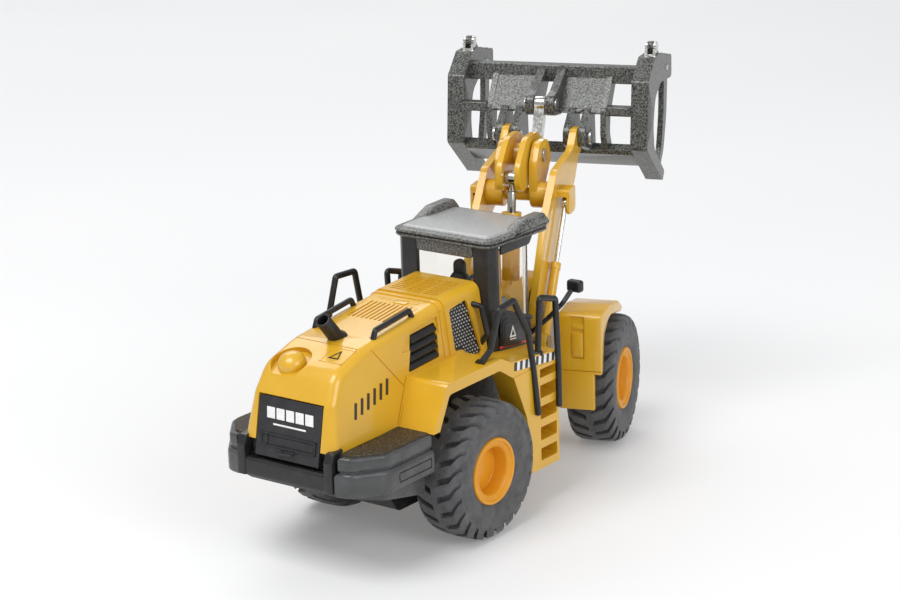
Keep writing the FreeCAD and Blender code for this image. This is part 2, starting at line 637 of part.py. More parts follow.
def build_front_fender(side_name, side):
    body = new_body(f"front_fender_{side_name}", front=True)
    cover = [(20.4, 30), (20.4, 49.8, 2), (32, 50.2, 6), (43.5, 48.4, 4), (48, 45.4), (46.6, 44.6), (31.5, 47.2, 8),
             (24.4, 42, 6), (22.3, 30)]
    skirt = [(20.4, 17.4, 0.5), (20.4, 30), (22.3, 30), (22.3, 17.4, 0.5)]
    web = [(20.4, 20), (20.4, 37), (22.3, 37), (22.3, 20)]
    slab(body, XZ, [cover], *side_levels(side, "front_fender_in", "front_fender_out"))
    slab(body, XZ, [skirt], *side_levels(side, "front_fender_in", "front_fender_out - 2.6"))
    slab(body, XZ, [web], *side_levels(side, "front_half", "front_fender_in"))
    return body


# ---------------------------------------------------------------- lift arms
ARM_SIDE = [(10.4, 46.4, 6), (10.4, 54.6, 6), (26, 81, 10), (37.6, 92.8, 5), (57.5, 95.6, 5), (62.6, 101.4, 3.2),
            (70.2, 101.4, 3.3), (70.2, 94.4, 3.3), (64.2, 91.6, 2), (59.3, 84.7, 3), (55, 81.4, 4), (41, 77, 8),
            (24.5, 51, 6), (21.5, 46.4, 5)]


def build_lift_arm(side_name, side):
    """One lift arm plate with its fork for the lift cylinder's rod eye on the outer face."""
    body = new_body(f"lift_arm_{side_name}", front=True)
    slab(body, XZ, [ARM_SIDE], *side_levels(side, "arm_in", "arm_out"))
    fork_top = [(37.6, 84.2), (45.6, 84.2), (45.6, 86.6, 0.8), (37.6, 86.6, 0.8)]
    fork_cheek = [(37.6, 78.2, 1.6), (45.6, 78.2, 2.5), (45.6, 86.6, 0.8), (37.6, 86.6, 0.8)]
    slab(body, XZ, [fork_top], *side_levels(side, "arm_out", "cylinder_y + 1.1"))
    slab(body, XZ, [fork_cheek], *side_levels(side, "cylinder_y + 1.1", "cylinder_y + 2"))
    disc(body, ARM_PIVOT, "arm_pin + running_gap", *side_levels(side, "arm_in", "arm_out"), cut=True)
    disc(body, ARM_TIP, "pin_radius + running_gap", *side_levels(side, "arm_in", "arm_out"), cut=True)
    return body


def build_cross_tube():
    """Tube between the arms, thinner in the middle, with the two bell crank lugs."""
    body = new_body("arm_cross_tube", front=True)
    profile = [(0, -d.arm_in), (d.tube_radius, -d.arm_in), (d.tube_radius, -d.lug_in, 0.6),
               (d.tube_waist, -d.lug_in, 0.6), (d.tube_waist, d.lug_in, 0.6), (d.tube_radius, d.lug_in, 0.6),
               (d.tube_radius, d.arm_in), (0, d.arm_in)]
    turned(body, profile, TUBE_CENTRE)
    lug = [(33.4, 84.8), (34, 96, 4), (38.6, 102, 5), (48, 101.6, 6), (51.6, 94.6, 2.5), (48.2, 90.6, 3), (41.6, 84.8)]
    for side in (1, -1):
        slab(body, XZ, [lug], *side_levels(side, "lug_in", "lug_out"))
    disc(body, CRANK_PIVOT, "pin_radius", "-lug_out", "lug_out", cut=True)
    return body


def build_bell_crank():
    """Two arched plates joined by the boss that turns on the crank pin."""
    body = new_body("bell_crank", front=True)
    arch = [(24.8, 96.4, 4.4), (34.5, 104.2, 8), (46, 104, 8), (60.6, 95.4, 3.4), (58.6, 89, 3.2), (51, 93, 5),
            (41, 91, 7), (33.8, 87.8, 4), (25.4, 87.8, 4)]
    disc(body, CRANK_PIVOT, "pin_radius + 2.2", "-crank_out", "crank_out")
    for side in (1, -1):
        slab(body, XZ, [arch], *side_levels(side, "crank_in", "crank_out"))
    disc(body, CRANK_PIVOT, "pin_radius + running_gap", "-crank_out", "crank_out", cut=True)
    return body


# ---------------------------------------------------------------- cylinders
def along(start, end, distance, sideways=0):
    """The point (x, z) at a distance from start towards end, moved sideways to the left of travel."""
    length = math.dist(start, end)
    ux, uz = (end[0] - start[0]) / length, (end[1] - start[1]) / length
    return start[0] + ux * distance - uz * sideways, start[1] + uz * distance + ux * sideways


def placed_cylinder(start, end, y, first, last, radius):
    """A round bar on the line from start to end, between two distances from start."""
    a, b = along(start, end, first), along(start, end, last)
    foot = Vector(a[0], y, a[1])
    return Part.makeCylinder(radius, math.dist(a, b), foot, Vector(b[0] - a[0], 0, b[1] - a[1]))


def eye(centre, y, radius, half, bore=0):
    """A flat round eye along Y, with an optional bore."""
    foot, way = Vector(centre[0], y - half, centre[1]), Vector(0, 1, 0)
    shape = Part.makeCylinder(radius, 2 * half, foot, way)
    return shape.cut(Part.makeCylinder(bore, 2 * half, foot, way)) if bore else shape


def front_feature(label, shape):
    piece = doc.addObject("Part::Feature", label)
    piece.Shape = shape
    piece.Placement = Placement(Vector(), Rotation(Vector(0, 0, 1), d.steer_angle))
    piece.Label = label
    return piece


def cylinder_barrel(label, base, end, y, length, radius, bore, foot_radius, foot_half):
    """Barrel with a foot eye, a collar at its mouth and a blind bore for the rod."""
    body = placed_cylinder(base, end, y, foot_radius - 0.6, length, radius)
    collar = placed_cylinder(base, end, y, length - 2.2, length, radius * 1.12)
    hole = placed_cylinder(base, end, y, foot_radius + 0.6, length + 1, bore)
    pin = Part.makeCylinder(d.pin_radius + d.running_gap, 4 * foot_half,
                            Vector(base[0], y - 2 * foot_half, base[1]), Vector(0, 1, 0))
    shape = body.fuse([collar, eye(base, y, foot_radius, foot_half)]).cut(hole).cut(pin).removeSplitter()
    return front_feature(label, shape)


def build_lift_cylinder(side_name, side):
    y = side * d.cylinder_y
    length = math.dist(LIFT_BASE, LIFT_EYE)
    barrel = cylinder_barrel(f"lift_barrel_{side_name}", LIFT_BASE, LIFT_EYE, y, length=27.2, radius=1.5,
                             bore=0.8 + d.running_gap, foot_radius=2.9, foot_half=1.4)
    rod = placed_cylinder(LIFT_BASE, LIFT_EYE, y, 11, length - 1, 0.8)
    rod = rod.fuse(eye(LIFT_EYE, y, 2.0, 0.9)).removeSplitter()
    return barrel, front_feature(f"lift_rod_{side_name}", rod)


def build_tilt_cylinder():
    """Barrel, hollow rod and the clevis whose shank slides in the rod."""
    length = math.dist(TILT_BASE, CRANK_REAR)
    rod_radius, shank = 1.4, 0.9
    barrel = cylinder_barrel("tilt_barrel", TILT_BASE, CRANK_REAR, 0, length=24.8, radius=2.9,
                             bore=rod_radius + d.running_gap, foot_radius=3.2, foot_half=3.0)
    rod = placed_cylinder(TILT_BASE, CRANK_REAR, 0, 11, length - 4.6, rod_radius)
    rod = rod.cut(placed_cylinder(TILT_BASE, CRANK_REAR, 0, 12, length, shank + d.running_gap))
    clevis = placed_cylinder(TILT_BASE, CRANK_REAR, 0, length - 14, length - 1, shank)
    clevis = clevis.fuse(eye(CRANK_REAR, 0, 2.2, 1.8)).removeSplitter()
    return barrel, front_feature("tilt_rod", rod), front_feature("tilt_clevis", clevis)


def build_tilt_link():
    """Flat bar with a round head at each end; the top head is bored for its pin."""
    length = math.dist(LINK_TOP, CRANK_FRONT)
    body = new_body("tilt_link", front=True)
    bar = [along(LINK_TOP, CRANK_FRONT, distance, side)
           for distance, side in ((0.5, 1.7), (0.5, -1.7), (length, -1.5), (length, 1.5))]
    slab(body, XZ, [bar], "-link_half", "link_half")
    disc(body, LINK_TOP, "2.6", "-link_half", "link_half")
    disc(body, CRANK_FRONT, "2.0", "-link_half", "link_half")
    disc(body, LINK_TOP, "1.05", "-link_half", "link_half", cut=True)
    return body


# ---------------------------------------------------------------- grapple
END_PLATE = [(73, 116, 1.5), (82.7, 122.6, 1.5), (93, 122.3, 3), (99, 120.4), (103.4, 120.4, 4.3),
             (103.4, 111.6, 4.3), (99, 111.6), (91, 112.6, 5), (82.6, 109, 7), (79.6, 100, 10), (80.8, 91.4, 6), (90, 84.6, 4), (95.2, 80.6, 1),
             (92.8, 77.6, 1), (70.3, 93.3, 2)]
CLAW_SIDE = [(103.8, 119.6, 1), (108.6, 119.2, 1.5), (108.6, 111, 4), (107, 98, 20), (102.6, 86.4, 8), (96.6, 80.6, 1),
             (95.8, 82.4, 0.6), (99.4, 88.4, 8), (102.6, 98.6, 20), (103.4, 109.8, 2)]


def build_end_plate(side_name, side):
    """A C-shaped end plate, slotted along its top limb for the claw's lever and clamp rod."""
    body = new_body(f"grapple_end_{side_name}", front=True)
    slab(body, XZ, [END_PLATE], *side_levels(side, "side_in", "side_out"))
    slot = [(77, 101), (77, 117.5, 2), (84, 122.4), (84, 126), (110, 126), (110, 101)]
    levels = side_levels(side, "side_mid - side_slot / 2", "side_mid + side_slot / 2")
    slab(body, XZ, [slot], *levels, cut=True)
    disc(body, CLAW_HINGE, "1.0", *side_levels(side, "side_in", "side_out"), cut=True)
    return body


def build_grapple_frame():
    body = new_body("grapple_frame", front=True)
    top_beam = [(80, 113.6), (84.7, 113.6), (84.7, 119.4, 0.6), (80, 119.4, 0.6)]
    bottom_beam = [(72.4, 92.4), (75, 94.2, 0.6), (88.4, 86.6, 0.6), (86.8, 83.8, 0.6), (73, 90.8)]
    slab(body, XZ, [top_beam], "-side_in", "side_in")
    slab(body, XZ, [bottom_beam], "-side_in", "side_in")
    outer_rib = [(80.4, 116.5), (84.7, 113.6, 1), (77, 104.4, 4), (75.8, 98, 6), (79.4, 90.4), (73.6, 90.6, 1),
                 (70.4, 97.6, 6), (70.8, 105.8, 4)]
    panel = [(80, 115.4), (82.2, 113.6), (73, 104.4), (70.6, 105.6)]
    pin_lug = [(70.6, 106.4, 1), (76.4, 108), (77.4, 92.8), (73.4, 91.4), (67, 94.2, 3), (62.9, 95.2, 3),
               (62.9, 100.6, 3.4)]
    link_lug = [(80.4, 118.6, 1), (84.7, 114.6), (74, 104, 4), (63, 105.4, 3), (62.2, 111.8, 3), (68, 112.6, 6)]
    mid_bar = [(70.4, 104.4, 0.6), (74.6, 104.4, 0.6), (74.6, 107.6, 0.6), (70.4, 107.6, 0.6)]
    for side in (1, -1):
        slab(body, XZ, [outer_rib], *side_levels(side, "19", "21"))
        slab(body, XZ, [mid_bar], *side_levels(side, "20.9", "side_in"))
        slab(body, XZ, [panel], *side_levels(side, "4.8", "19.1"))
        slab(body, XZ, [link_lug], *side_levels(side, "2.2", "4.9"))
        for inner, outer in (("8", "10.4"), ("13.2", "15.6")):
            slab(body, XZ, [pin_lug], *side_levels(side, inner, outer))
    disc(body, ARM_TIP, "pin_radius", "-17", "17", cut=True)
    disc(body, LINK_TOP, "1.0", "-5", "5", cut=True)
    return body


def build_grapple_pins():
    pins = side_pins("arm_tip_pin", ARM_TIP, "pin_radius", "7.6", "16.4", head=0.8, lip=0.9)
    pins.append(headed_pin("link_top_pin", LINK_TOP, "1.0", "5.0", head=0.6, lip=0.8))
    for side_name, side in SIDES:
        hinge = new_body(f"claw_hinge_pin_{side_name}", front=True)
        disc(hinge, CLAW_HINGE, "1.0", *side_levels(side, "side_in - 0.4", "side_out + 0.4"))
        pins.append(hinge)
    return group("grapple_pins", pins)


def build_claw(side_name, side):
    """A curved claw with its hinge boss and the lever that the clamp rod pulls."""
    body = new_body(f"claw_{side_name}", front=True)
    thin = side_levels(side, "side_mid - claw_half", "side_mid + claw_half")
    slab(body, XZ, [CLAW_SIDE], *thin)
    lever = [along(CLAW_HINGE, CLAMP_EYE, distance, side_step)
             for distance, side_step in ((0, 2.4), (0, -2.4), (13, -1.7), (13, 1.7))]
    bridge = [(99, 113.4), (104.6, 112.4), (104.6, 119), (99, 118.6)]
    slab(body, XZ, [lever], *thin)
    slab(body, XZ, [bridge], *thin)
    disc(body, CLAW_HINGE, "2.9", *thin)
    disc(body, CLAMP_EYE, "1.8", *thin)
    boss = [(104, 111.2, 0.6), (108.6, 111.2, 1.5), (108.6, 119.2, 1.5), (104, 119.2, 0.6)]
    slab(body, XZ, [boss], *side_levels(side, "side_in + 0.5", "side_out - 0.5"))
    disc(body, CLAW_HINGE, "1.0 + running_gap", *thin, cut=True)
    disc(body, CLAMP_EYE, "0.7 + running_gap", *thin, cut=True)
    return body


def build_clamp_rod(side_name, side):
    """A plated fork on a claw's lever, its rod going down into the end plate's slot."""
    body = new_body(f"clamp_rod_{side_name}", front=True)
    inner, outer = "side_mid + claw_half + 0.05", "side_mid + side_slot / 2 - 0.1"
    fork = [along(CLAMP_EYE, CLAMP_AIM, distance, step)
            for distance, step in ((0, 1.3), (0, -1.3), (4.6, -1.3), (4.6, 1.3))]
    stem = [along(CLAMP_EYE, CLAMP_AIM, distance, step)
            for distance, step in ((3.0, 1.1), (3.0, -1.1), (9.0, -1.1), (9.0, 1.1))]
    low_cheek = ("side_mid - side_slot / 2 + 0.1", "side_mid - claw_half - 0.05")
    slab(body, XZ, [stem], *side_levels(side, low_cheek[0], outer))
    for near, far in ((inner, outer), low_cheek):
        slab(body, XZ, [fork], *side_levels(side, near, far))
        disc(body, CLAMP_EYE, "1.7", *side_levels(side, near, far))
    disc(body, CLAMP_EYE, "0.7", *side_levels(side, low_cheek[0], outer))
    return body


# ---------------------------------------------------------------- assembly
def build_all():
    parts = [build_rear_chassis(), build_articulation_pin(), build_chassis_screws(), build_counterweight(),
             build_tread_plates(), build_rear_bumper()]
    hood, hood_block = build_hood()
    parts += [hood, *build_hood_inserts(), *build_hood_fittings(hood_block)]
    tub, glass = build_cab()
    parts += [tub, glass, build_cab_rear_frame(), build_cab_roof(), *build_cab_interior()]
    parts += [build_mirror(tub), build_front_chassis(), build_front_pins()]
    for side_name, side in SIDES:
        fender = build_fender(side_name, side, hood_block, CAB_HALF_PLAN)
        ladder = build_ladder(side_name, side)
        parts += [fender, ladder, *build_rails(side_name, side, fender, ladder)]
        parts += [build_front_fender(side_name, side), build_lift_arm(side_name, side),
                  *build_lift_cylinder(side_name, side), build_end_plate(side_name, side),
                  build_claw(side_name, side), build_clamp_rod(side_name, side)]
    for end, x, front in (("rear", -d.axle_x, False), ("front", d.axle_x, True)):
        parts += [build_axle(f"{end}_axle", x, front), build_rims(f"{end}_rims", x, front)]
        parts += [build_tyre(f"{end}_tyre_{side_name}", x, side, front) for side_name, side in SIDES]
    parts += [build_cross_tube(), headed_pin("crank_pin", CRANK_PIVOT, "pin_radius", "lug_out", head=0.7),
              build_bell_crank(), *build_tilt_cylinder(), build_tilt_link(), build_grapple_frame(),
              build_grapple_pins()]
    return parts


parts = build_all()
doc.recompute()

faults = [item.Name for item in doc.Objects if "Invalid" in item.State or "Error" in item.State]
if faults:
    raise RuntimeError("failed features: " + ", ".join(faults))
for piece in parts:
    if piece.Shape.isNull() or not piece.Shape.isValid() or not piece.Shape.Solids:
        raise RuntimeError("bad shape: " + piece.Label)

os.makedirs("parts", exist_ok=True)
for piece in parts:
    piece.Shape.exportStep(f"parts/{piece.Label}.step")
    box = piece.Shape.BoundBox
    print(f"{piece.Label:24s} solids {len(piece.Shape.Solids)}  volume {piece.Shape.Volume:9.1f}  "
          f"x {box.XMin:7.1f} {box.XMax:7.1f}  y {box.YMin:7.1f} {box.YMax:7.1f}  z {box.ZMin:6.1f} {box.ZMax:6.1f}")
print(len(parts), "sub-parts")
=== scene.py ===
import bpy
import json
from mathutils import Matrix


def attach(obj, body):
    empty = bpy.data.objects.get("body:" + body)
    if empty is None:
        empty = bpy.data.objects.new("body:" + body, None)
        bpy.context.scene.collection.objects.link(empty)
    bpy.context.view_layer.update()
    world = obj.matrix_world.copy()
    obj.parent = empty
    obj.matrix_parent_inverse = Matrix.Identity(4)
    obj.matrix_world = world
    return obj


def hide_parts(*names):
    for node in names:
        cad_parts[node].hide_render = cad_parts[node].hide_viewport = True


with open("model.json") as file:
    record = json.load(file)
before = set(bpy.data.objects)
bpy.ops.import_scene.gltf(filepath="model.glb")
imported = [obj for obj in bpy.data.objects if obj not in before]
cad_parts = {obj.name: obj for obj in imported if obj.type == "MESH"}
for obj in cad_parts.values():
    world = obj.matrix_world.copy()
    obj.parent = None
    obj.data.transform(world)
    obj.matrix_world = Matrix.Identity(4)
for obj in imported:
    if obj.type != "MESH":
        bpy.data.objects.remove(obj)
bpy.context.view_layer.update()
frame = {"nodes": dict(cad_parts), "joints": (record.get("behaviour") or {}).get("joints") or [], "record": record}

"""Looks of the toy front loader: a die-cast wheel loader with a log grapple.

Lengths are in millimetres and become metres when a mesh is made.  +X is forward along the
rear frame, +Y left, +Z up, and the origin lies on the ground under the articulation pin.  Pieces
of the front frame are drawn straight ahead and then turned by the steering angle of the rest pose.
"""
import json
import math

import bmesh
import bpy
from mathutils import Matrix, Vector

MM = 0.001
JOINTS = {joint["name"]: joint for joint in frame["joints"]}
NODES = frame["nodes"]
LIFT_AXIS = JOINTS["arm_lift"]["axis"]
STEER = math.atan2(LIFT_AXIS[0], -LIFT_AXIS[1])
STEERED = Matrix.Rotation(STEER, 4, "Z")
SIDES = (("left", 1), ("right", -1))


# ---------------------------------------------------------------- materials
class Shader:
    """A node material being built: object coordinates in, one Principled shader out."""

    def __init__(self, name, **settings):
        self.material = bpy.data.materials.new(name)
        self.material.use_nodes = True
        self.tree = self.material.node_tree
        self.nodes = self.tree.nodes
        self.surface = self.nodes["Principled BSDF"]
        self.place = self.nodes.new("ShaderNodeTexCoord").outputs["Object"]
        for socket, value in settings.items():
            self.surface.inputs[socket.replace("_", " ")].default_value = value

    def node(self, kind, inputs=None, **settings):
        made = self.nodes.new("ShaderNode" + kind)
        for name, value in settings.items():
            setattr(made, name, value)
        for name, value in (inputs or {}).items():
            if isinstance(value, bpy.types.NodeSocket):
                self.tree.links.new(value, made.inputs[name])
            else:
                made.inputs[name].default_value = value
        return made

    def noise(self, scale, detail=2.0, roughness=0.5):
        """Noise from 0 to 1; scale is in features per metre."""
        settings = {"Vector": self.place, "Scale": scale, "Detail": detail, "Roughness": roughness}
        return self.node("TexNoise", settings).outputs["Fac"]

    def cells(self, scale):
        """Distance to the nearest of scattered points, scale of them per metre."""
        return self.node("TexVoronoi", {"Vector": self.place, "Scale": float(scale)}).outputs["Distance"]

    def ramp(self, factor, *stops):
        """Colour ramp through (position, colour) stops; a plain number is a grey."""
        made = self.node("ValToRGB", {"Fac": factor})
        ramp = made.color_ramp
        while len(ramp.elements) < len(stops):
            ramp.elements.new(0.5)
        for element, (position, value) in zip(ramp.elements, stops):
            element.position = position
            element.color = (*value, 1) if isinstance(value, tuple) else (value, value, value, 1)
        return made.outputs["Color"]

    def drive(self, socket, source):
        self.tree.links.new(source, self.surface.inputs[socket])

    def tone(self, socket, factor, *stops):
        """Drive a socket of the surface by a colour ramp."""
        self.drive(socket, self.ramp(factor, *stops))

    def bump(self, *layers):
        """Stack (height, strength, distance in mm) layers on the normal."""
        normal = None
        for height, strength, distance in layers:
            inputs = {"Height": height, "Strength": strength, "Distance": distance * MM}
            if normal:
                inputs["Normal"] = normal
            normal = self.node("Bump", inputs).outputs["Normal"]
        self.drive("Normal", normal)


def gloss_paint():
    """Yellow-orange die-cast paint: a clear coat over a slightly uneven colour."""
    paint = Shader("gloss_paint", Coat_Weight=0.55, Coat_Roughness=0.07)
    drift = paint.noise(55, 3, 0.6)
    paint.tone("Base Color", drift, (0.3, (0.66, 0.365, 0.013)), (0.7, (0.72, 0.405, 0.019)))
    paint.tone("Roughness", paint.noise(420, 4), (0.3, 0.28), (0.75, 0.42))
    paint.bump((paint.noise(900, 2), 0.10, 0.06), (paint.noise(160, 2), 0.12, 0.25))
    return paint.material


def moulded_yellow():
    """Orange-yellow moulded plastic of the rims: no clear coat, faint flow marks."""
    plastic = Shader("moulded_yellow")
    flow = plastic.noise(90, 3)
    plastic.tone("Base Color", flow, (0.3, (0.72, 0.300, 0.008)), (0.7, (0.78, 0.340, 0.012)))
    plastic.tone("Roughness", plastic.noise(600, 3), (0.3, 0.34), (0.7, 0.5))
    plastic.bump((plastic.noise(1100, 2), 0.12, 0.05))
    return plastic.material


def dark_plastic(name, dark, light, gloss, grain):
    """Grey to black plastic: spark-eroded grain, a little uneven in colour and gloss."""
    plastic = Shader(name, Specular_IOR_Level=0.45)
    plastic.tone("Base Color", plastic.noise(210, 4, 0.6), (0.32, dark), (0.72, light))
    plastic.tone("Roughness", plastic.noise(800, 3), (0.3, gloss - 0.07), (0.7, gloss + 0.08))
    plastic.bump((plastic.noise(2600, 2), 0.25, grain), (plastic.noise(300, 2), 0.1, 0.12))
    return plastic.material


def hammered_grey(name, dark, light, metallic):
    """Hammered enamel: rounded dimples and lighter mica flecks."""
    enamel = Shader(name, Metallic=metallic, Coat_Weight=0.25, Coat_Roughness=0.16)
    dimple = enamel.cells(1700)
    fleck = enamel.noise(1750, 3, 0.65)
    enamel.tone("Base Color", fleck, (0.40, dark), (0.60, light))
    enamel.tone("Roughness", fleck, (0.3, 0.28), (0.7, 0.5))
    enamel.bump((dimple, 0.35, 0.12), (enamel.noise(420, 2), 0.25, 0.3))
    return enamel.material


def tyre_rubber():
    """Matt rubber, a little dusty."""
    rubber = Shader("tyre_rubber", Specular_IOR_Level=0.3, Sheen_Weight=0.12, Sheen_Roughness=0.6)
    dust = rubber.noise(260, 5, 0.65)
    rubber.tone("Base Color", dust, (0.35, (0.060, 0.061, 0.063)), (0.68, (0.112, 0.112, 0.115)))
    rubber.tone("Roughness", rubber.noise(700, 3), (0.3, 0.6), (0.7, 0.82))
    rubber.bump((rubber.noise(3200, 2), 0.3, 0.03), (rubber.noise(500, 3), 0.15, 0.1))
    return rubber.material


def grip_coat():
    """The grit strips on the counterweight: brown-black with pale grains."""
    grit = Shader("grip_coat", Roughness=0.62, Specular_IOR_Level=0.5)
    grain = grit.cells(1700)
    grit.tone("Base Color", grain, (0.07, (0.42, 0.34, 0.20)), (0.2, (0.075, 0.050, 0.020)),
              (0.5, (0.028, 0.020, 0.010)))
    grit.bump((grain, 0.6, 0.15), (grit.noise(900, 3), 0.4, 0.15))
    return grit.material


def polished_plate():
    """Chrome plating with hairline scratches."""
    plate = Shader("polished_plate", Metallic=1.0)
    plate.tone("Base Color", plate.noise(140, 3), (0.3, (0.50, 0.49, 0.45)), (0.7, (0.74, 0.74, 0.71)))
    plate.tone("Roughness", plate.noise(900, 4), (0.35, 0.10), (0.75, 0.26))
    plate.bump((plate.noise(1300, 3), 0.08, 0.05))
    return plate.material


def turned_steel():
    """Bare steel of the pins and axles."""
    steel = Shader("turned_steel", Metallic=1.0)
    steel.tone("Base Color", steel.noise(300, 4), (0.3, (0.42, 0.42, 0.43)), (0.7, (0.60, 0.60, 0.61)))
    steel.tone("Roughness", steel.noise(1500, 3), (0.3, 0.24), (0.7, 0.42))
    steel.bump((steel.noise(2500, 2), 0.15, 0.03))
    return steel.material


def clear_moulding():
    """The one-piece clear cab moulding, with the faint ripple of injected styrene."""
    clear = Shader("clear_moulding", Transmission_Weight=1.0, IOR=1.2, Roughness=0.0)
    clear.tone("Base Color", clear.noise(40, 2), (0.3, (0.97, 0.96, 0.93)), (0.7, (1.0, 0.99, 0.96)))
    clear.bump((clear.noise(60, 1), 0.05, 0.1))
    return clear.material


def printed(name, colour):
    """A thin tampo-printed ink."""
    ink = Shader(name, Roughness=0.4)
    lighter = tuple(min(1.0, channel * 1.12) for channel in colour)
    ink.tone("Base Color", ink.noise(700, 3), (0.3, colour), (0.7, lighter))
    ink.bump((ink.noise(1800, 2), 0.1, 0.02))
    return ink.material


PAINT = gloss_paint()
YELLOW_PLASTIC = moulded_yellow()
WEIGHT_GREY = dark_plastic("weight_grey", (0.050, 0.051, 0.052), (0.082, 0.083, 0.084), 0.30, 0.04)
BLACK = dark_plastic("black_plastic", (0.009, 0.009, 0.010), (0.020, 0.020, 0.021), 0.33, 0.03)
CAB_BLACK = dark_plastic("cab_black", (0.013, 0.013, 0.014), (0.030, 0.030, 0.032), 0.38, 0.05)
SEAT_BLACK = dark_plastic("seat_black", (0.065, 0.065, 0.080), (0.120, 0.120, 0.140), 0.6, 0.08)
BLUE_GREY = dark_plastic("blue_grey", (0.13, 0.18, 0.27), (0.20, 0.26, 0.36), 0.45, 0.04)
# Painted highlight: the studs' light grey stands for glints and the light seen through the mesh's holes, not for a
# colour of their own.
STUD_GLINT_GREY = dark_plastic("stud_glint_grey", (0.36, 0.36, 0.36), (0.52, 0.52, 0.52), 0.35, 0.02)
ROOF_GREY = hammered_grey("roof_grey", (0.32, 0.32, 0.317), (0.44, 0.44, 0.435), 0.2)
RIM_GREY = hammered_grey("roof_rim_grey", (0.030, 0.030, 0.027), (0.23, 0.23, 0.215), 0.30)
GRAPPLE_GREY = hammered_grey("grapple_grey", (0.018, 0.019, 0.018), (0.185, 0.19, 0.172), 0.40)
RUBBER = tyre_rubber()
GRIT = grip_coat()
CHROME = polished_plate()
STEEL = turned_steel()
CLEAR = clear_moulding()
WHITE_INK = printed("white_ink", (0.78, 0.78, 0.77))
DARK_INK = printed("dark_ink", (0.03, 0.022, 0.018))
RED_INK = printed("red_ink", (0.55, 0.045, 0.03))
GREEN_INK = printed("green_ink", (0.012, 0.045, 0.035))


# ---------------------------------------------------------------- mesh helpers
def rounded(corners, steps=5):
    """Points of a closed outline; a corner is (a, b) or (a, b, radius of its rounding)."""
    points = []
    for index, corner in enumerate(corners):
        here = Vector(corner[:2])
        if len(corner) < 3:
            points.append(here)
            continue
        back = (Vector(corners[index - 1][:2]) - here).normalized()
        ahead = (Vector(corners[(index + 1) % len(corners)][:2]) - here).normalized()
        half = back.angle(ahead) / 2
        centre = here + (back + ahead).normalized() * (corner[2] / math.sin(half))
        first = here + back * (corner[2] / math.tan(half)) - centre
        sweep = -first.angle_signed(here + ahead * (corner[2] / math.tan(half)) - centre)
        points += [centre + Matrix.Rotation(sweep * step / steps, 2) @ first for step in range(steps + 1)]
    return points


def new_piece(name, bm):
    """An object from a bmesh drawn in millimetres, with its normals facing out."""
    bmesh.ops.recalc_face_normals(bm, faces=bm.faces)
    bmesh.ops.scale(bm, vec=Vector((MM, MM, MM)), verts=bm.verts)
    mesh = bpy.data.meshes.new(name)
    bm.to_mesh(mesh)
    bm.free()
    piece = bpy.data.objects.new(name, mesh)
    bpy.context.scene.collection.objects.link(piece)
    return piece


PLACES = {"XZ": lambda a, b, level: (a, level, b), "XY": lambda a, b, level: (a, b, level),
          "YZ": lambda a, b, level: (level, a, b)}


def skin(bm, rings):
    """Close rings with equal numbers of corners into a solid: a cap on each end, quads between."""
    rings = [[bm.verts.new(corner) for corner in ring] for ring in rings]
    bm.faces.new(rings[0])
    bm.faces.new(rings[-1])
    for near, far in zip(rings, rings[1:]):
        for i in range(len(near)):
            j = (i + 1) % len(near)
            bm.faces.new((near[i], near[j], far[j], far[i]))


def slab_into(bm, outline, low, high, plane="XZ"):
    """Add a slab: an outline in a plane, between two levels across it."""
    skin(bm, [[PLACES[plane](*point, level) for point in rounded(outline)] for level in (low, high)])


def slab(name, outline, low, high):
    """A piece that is one slab across Y."""
    bm = bmesh.new()
    slab_into(bm, outline, low, high)
    return new_piece(name, bm)


def inset_points(points, inset):
    """The points of a closed outline moved inward by a distance."""
    area = sum(a.x * b.y - b.x * a.y for a, b in zip(points, points[1:] + points[:1]))
    turn = 1 if area > 0 else -1
    moved = []
    for i, point in enumerate(points):
        back = (point - points[i - 1]).normalized()
        ahead = (points[(i + 1) % len(points)] - point).normalized()
        inward = turn * Vector((-back.y - ahead.y, back.x + ahead.x)).normalized()
        share = max(0.5, inward.dot(turn * Vector((-back.y, back.x))))
        moved.append(point + inward * (inset / share))
    return moved


def stack_into(bm, outline, rings, plane="XY", steps=6):
    """Add a moulded slab: its outline at each (inset, level), moved inward by the inset."""
    points = rounded(outline, steps)
    skin(bm, [[PLACES[plane](*point, level) for point in inset_points(points, inset)] for inset,
              level in rings])


def soft_rings(low, high, radius, steps=3):
    """Rings of a slab whose edges at both ends are rounded by a radius."""
    turns = [math.pi / 2 * step / steps for step in range(steps + 1)]
    first = [(radius * (1 - math.sin(turn)), low + radius * (1 - math.cos(turn))) for turn in turns]
    return first + [(inset, low + high - level) for inset, level in reversed(first)]


def soft_slab_into(bm, outline, low, high, radius, plane="XZ", steps=5):
    """Add a slab with rounded edges; its levels may come in either order."""
    low, high = min(low, high), max(low, high)
    stack_into(bm, outline, soft_rings(low, high, radius), plane, steps)


def block(low, high, *radius):
    """Outline of a rectangle, its corners rounded if a radius is given."""
    return [(low[0], low[1], *radius), (high[0], low[1], *radius), (high[0], high[1], *radius),
            (low[0], high[1], *radius)]


def lathe_into(bm, profile, centre, axis, steps=96):
    """Add a turned solid: a profile of (radius, distance along the axis) points round a line."""
    turn = Vector((0, 0, 1)).rotation_difference(Vector(axis)).to_matrix()
    rings = []
    for radius, along in profile:
        if radius == 0:
            rings.append([bm.verts.new(Vector(centre) + turn @ Vector((0, 0, along)))])
            continue
        ring = [Vector((radius * math.cos(a), radius * math.sin(a), along))
                for a in (2 * math.pi * step / steps for step in range(steps))]
        rings.append([bm.verts.new(Vector(centre) + turn @ point) for point in ring])
    for first, second in zip(rings, rings[1:]):
        for i in range(steps):
            j = (i + 1) % steps
            corners = [ring[k % len(ring)] for ring, k in ((first, i), (first, j), (second, j), (second, i))]
            bm.faces.new(list(dict.fromkeys(corners)))
    for ring in (rings[0], rings[-1]):
        if len(ring) > 1:
            bm.faces.new(ring)


